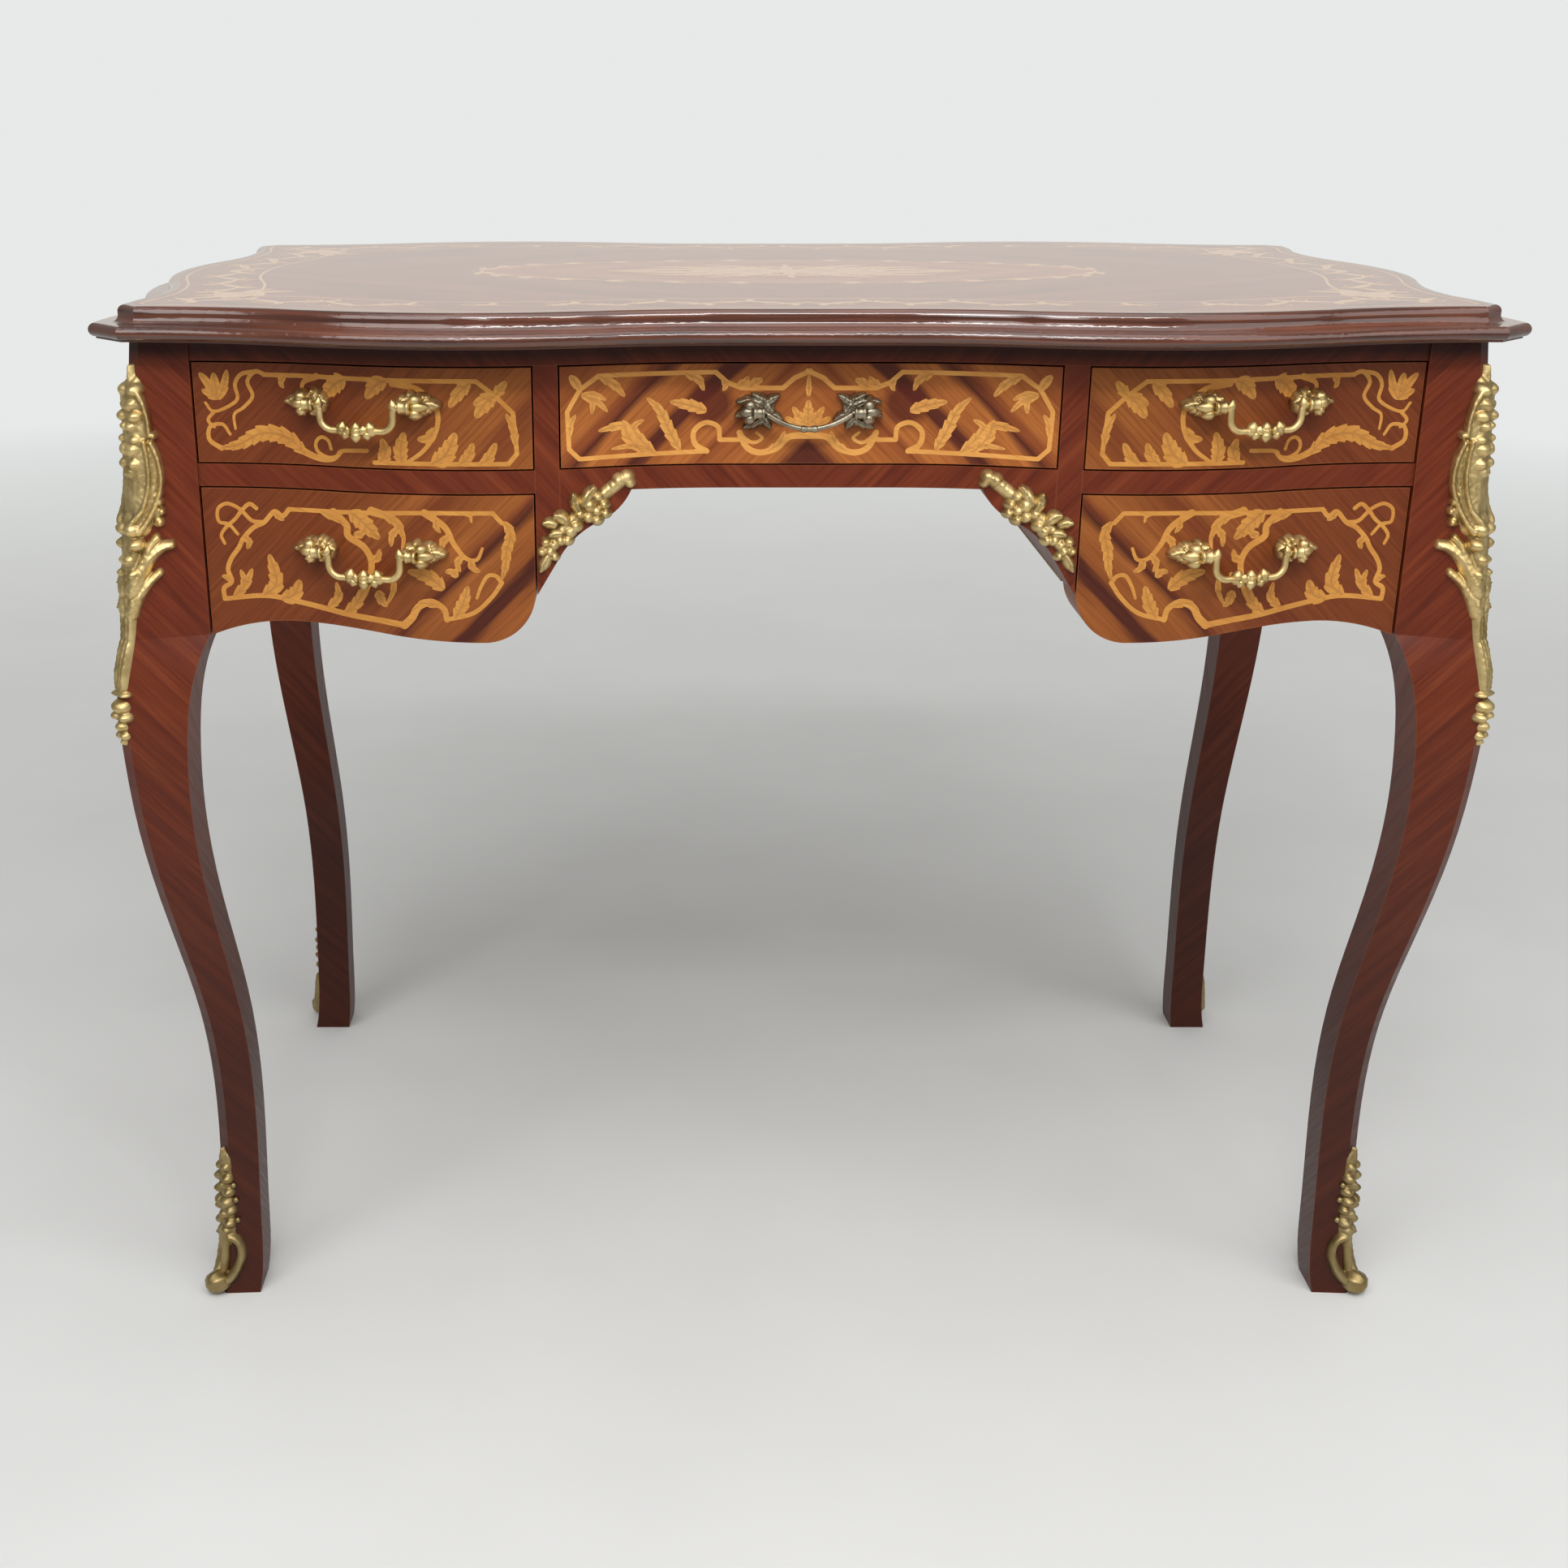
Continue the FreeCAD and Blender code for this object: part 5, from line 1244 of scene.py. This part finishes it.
def post_casting(level, tail, marks, slot):
    """Two leaf plates with necks and eyes for the bail, and a stud with its nut behind each."""
    plate_from, plate_to, plate_half, step = 14, 57, 15, 0.6
    stud_from, stud_radius, root_radius, pitch, threads = 6.5, 2.4, 2.05, 0.75, 9
    eye_sides, stud_sides, nut_sides, clear = 24, 16, 6, 10
    bud_root, bud_foot, bud_tip, bud_wide = POST + 3, -1, -6.5, 3.8
    buds = ((0, 51, 0), (3.2, 46, 6.5), (-3.2, 46, -6.5))
    neck = [(2.0, 2.6), (3.4, 3.9), (4.4, 3.0), (6.5, 2.7), (8.5, 3.6), (9.5, 4.6), (STANDOFF, 4.4)]
    eye = [(-4.0, EYE_RADIUS), (-4.0, 3.8), (-3.4, 4.6), (-2.4, 4.6), (-1.8, 3.7), (0, 4.1), (1.8, 3.7),
           (2.4, 4.6), (3.4, 4.6), (4.0, 3.8), (4.0, EYE_RADIUS)]
    place = HandlePlace(level + tail)
    face = surface(f"{level}_drawer_front{tail}")
    build = Build()

    def seat(along, up):
        spot = face.ray_cast(place.at(along, clear, up), -place.out)[0]
        return (spot or place.at(along, -STANDOFF, up)), place.out

    for side, drawing in ((1, marks), (-1, [mark.mirrored() for mark in marks])):
        span = sorted((side * plate_from, side * plate_to))
        cutting = cast(drawing, span, (-plate_half, plate_half), step)
        shell(build, cutting, [seat(*point) for point in cutting.points], CAST_UNDER)
        spot = place.at(side * POST, 0, 0)
        build.add(*lathe(neck, spot, -place.out))
        build.add(*lathe(eye, spot, place.along, eye_sides, ring=True))
        for up, reach, lean in buds:
            foot = place.at(side * bud_root, bud_foot, up)
            build.add(*bud(foot, place.at(side * reach, bud_tip, lean), bud_wide))
        back = DRAWER_BACK_Y - spot.y / MM
        stud = [(stud_from, stud_radius), (back, stud_radius)]
        for turn in range(threads):
            stud.append((back + turn * pitch, stud_radius if turn % 2 else root_radius))
        build.add(*lathe(stud, spot, -FORWARD, stud_sides))
        nut = [(back, 4.9), (back + 0.5, 5.5), (back + 3.4, 5.5), (back + 4.0, 4.7)]
        build.add(*lathe(nut, spot, -FORWARD, nut_sides))
    build.piece(f"{level}_drawer_post_casting{tail}", f"drawer_{level}{tail}", slot, FINISH[slot],
                (f"{level}_drawer_posts{tail}",))


def bail_line(drop):
    """Points of a bail between its shoulders: a shallow swag, or down both sides and along the bottom."""
    if drop == CENTRE_DROP:
        half = [(SHOULDER * (1 - share), -drop * (1 - (1 - share) ** 2)) for share in np.linspace(0, 1, 12)]
    else:
        waist = SHOULDER - BEND
        half = []
        for cos, sin in map(toward, range(0, 90, 15)):
            half.append((SHOULDER - BEND * sin, -BEND * (1 - cos)))
        for cos, sin in map(toward, range(0, 91, 10)):
            half.append((waist - CORNER * (1 - cos), CORNER - drop - CORNER * sin))
        half.append((0, -drop))
    return half + [(-along, up) for along, up in reversed(half[:-1])]


def bail_buds(drop):
    """Buds on a bail: finials and a knobbly cluster on a side bail, a plain swelling on the centre one."""
    if drop == CENTRE_DROP:
        return [((-7, 0.3, -drop), (0.5, 0.3, -drop), 2.2), ((7, 0.3, -drop), (-0.5, 0.3, -drop), 2.2)]
    buds = [((0, 1, -drop), (0, 2.2, -drop + 6.5), 3.4), ((0, 1.5, -drop), (0, 2.4, -drop - 8), 3.7),
            ((0, 0.5, -drop), (0, 5, -drop), 4.2)]
    for side in (-1, 1):
        buds += [((side * 15, 0, -drop), (side * 3, 0.6, -drop - 0.5), 3.6),
                 ((side * 11, 0.8, -drop - 1), (side * 9, 1.6, -drop + 7), 3.7),
                 ((side * 7, 1.2, -drop), (side * 9, 2, -drop - 6), 3.2),
                 ((side * 4.5, 1.5, -drop + 1), (side * 8.5, 4.2, -drop + 0.5), 3.4),
                 ((side * 28, 0, -3), (side * 26.2, 0.6, 5.6), 3.0)]
    return buds


def bail_casting(level, tail, drop, slot):
    """A swept rod with a pin at each end, and its buds."""
    place = HandlePlace(level + tail)
    build = Build()
    sides, thinnest, swell = 16, 0.8, 0.2
    line = bail_line(drop)
    sizes = [thinnest + swell * abs(math.sin(math.pi * along / SHOULDER)) for along, up in line]
    curve = line_object([place.at(along, 0, up) for along, up in line], sizes)
    radius = CENTRE_ROD if drop == CENTRE_DROP else ROD_RADIUS
    build.add(*ROD.shape(curve, Radius=radius * MM, Resolution=sides, Material=FINISH[slot]))
    pin = [(-1.5, 1.4), (-1.0, PIN_RADIUS), (7.5, PIN_RADIUS), (8.0, 1.4)]
    for side in (-1, 1):
        build.add(*lathe(pin, place.at(side * SHOULDER, 0, 0), place.along * side, sides))
    for start, end, wide in bail_buds(drop):
        build.add(*bud(place.at(*start), place.at(*end), wide))
    build.piece(f"{level}_drawer_bail_casting{tail}", f"bail_{level}{tail}", slot, FINISH[slot],
                (f"{level}_drawer_bail{tail}",))


def handles():
    drawers = [(level, f"_{hand}") for level in ("upper", "lower") for hand, side in HANDS]
    for level, tail in drawers:
        post_casting(level, tail, side_plate(), "gilt_brass")
        bail_casting(level, tail, SIDE_DROP, "gilt_brass")
    post_casting("centre", "", centre_plate(), "dark_brass")
    bail_casting("centre", "", CENTRE_DROP, "dark_brass")


drawer_marquetry()
lay_top()
corner_castings()
kneehole_castings()
handles()


# Studio: a pale floor that fades into a pale room, and soft lamps
ROOM = (0.8, 0.82, 0.81)


def floor():
    """A round pale floor whose rim fades out into the room."""
    reach, sides, fade_from, fade_to = 9.0, 64, 1.2, 4.5
    ring = [(*(toward(360 * side / sides) * reach), 0) for side in range(sides)]
    mesh = bpy.data.meshes.new("floor")
    mesh.from_pydata(ring, [], [tuple(range(sides))])
    paint = Paint("pale_floor")
    place = paint.place()
    cloud = paint.noise(place, 3.0)
    rays = paint.add("ShaderNodeLightPath").outputs
    seen = paint.math("MAXIMUM", rays["Is Camera Ray"], rays["Is Glossy Ray"])
    pale = paint.ramp(cloud, [(0.3, (0.7, 0.7, 0.69)), (0.7, (0.74, 0.74, 0.73))])
    paint.finish(Base_Color=paint.mix(seen, (0.4, 0.4, 0.4), pale), Roughness=0.8)
    faded = paint.spread(paint.vector("LENGTH", place), fade_from, fade_to)
    clear = paint.add("ShaderNodeBsdfTransparent").outputs[0]
    blend = paint.add("ShaderNodeMixShader", {0: faded, 1: paint.shader.outputs[0], 2: clear})
    feed(paint.tree, paint.tree.nodes["Material Output"].inputs["Surface"], blend.outputs[0])
    mesh.materials.append(paint.material)
    linked("floor", mesh)


def room():
    """Pale to the eye, dimmer in reflections, and a soft even light."""
    world = bpy.data.worlds.new("studio")
    world.use_nodes = True
    tree = world.node_tree
    base = tree.nodes["Background"]
    feed(tree, base.inputs["Color"], (0.95, 0.97, 0.96, 1))
    feed(tree, base.inputs["Strength"], 0.3)
    rays = tree.nodes.new("ShaderNodeLightPath").outputs
    last = base.outputs[0]
    for ray, strength in (("Is Glossy Ray", 0.36), ("Is Camera Ray", 1.0)):
        seen = tree.nodes.new("ShaderNodeBackground")
        feed(tree, seen.inputs["Color"], (*ROOM, 1))
        feed(tree, seen.inputs["Strength"], strength)
        both = tree.nodes.new("ShaderNodeMixShader")
        for socket, value in zip(both.inputs, (rays[ray], last, seen.outputs[0])):
            feed(tree, socket, value)
        last = both.outputs[0]
    feed(tree, tree.nodes["World Output"].inputs["Surface"], last)
    bpy.context.scene.world = world


def lamps():
    """A key, a fill, an overhead panel, a long low one behind for the top to mirror, a strip for glints."""
    middle = Vector((0, 0, 0.6))
    white, warm = (1, 1, 1), (1.0, 0.9, 0.81)
    panels = [("key", (-1.1, -2.5, 2.9), 2.4, 2.4, 54, white),
              ("fill", (1.9, -2.0, 2.2), 2.2, 2.2, 22, white),
              ("over", (0.2, -0.5, 3.2), 2.6, 2.6, 30, white),
              ("behind", (0, 3.4, 1.3), 6.0, 1.6, 13.5, warm),
              ("strip", (0.2, -2.3, 2.7), 1.6, 0.3, 30, white)]
    for name, spot, wide, tall, power, tint in panels:
        data = bpy.data.lights.new(name, "AREA")
        data.shape = "RECTANGLE"
        data.size = wide
        data.size_y = tall
        data.energy = power
        data.color = tint
        lamp = linked(name, data)
        lamp.location = spot
        lamp.rotation_euler = (middle - Vector(spot)).to_track_quat("-Z", "Y").to_euler()
        lamp.visible_camera = False


def camera():
    """The photograph's view: pixels of a square frame, place in millimetres, pitch in degrees."""
    frame_pixels, focal_pixels, axis_pixel = 1932, 2411.8, 820.8
    place, pitch = (-99.5, -1643.8, 947.3), 19.81
    data = bpy.data.cameras.new("camera")
    data.sensor_width = 36
    data.lens = data.sensor_width * focal_pixels / frame_pixels
    data.shift_x = 0.5 - axis_pixel / frame_pixels
    made = linked("camera", data)
    made.location = Vector(place) * MM
    made.rotation_euler = (math.radians(90 - pitch), 0, 0)
    bpy.context.scene.camera = made


floor()
room()
lamps()
camera()
bpy.context.scene.view_settings.view_transform = "Standard"
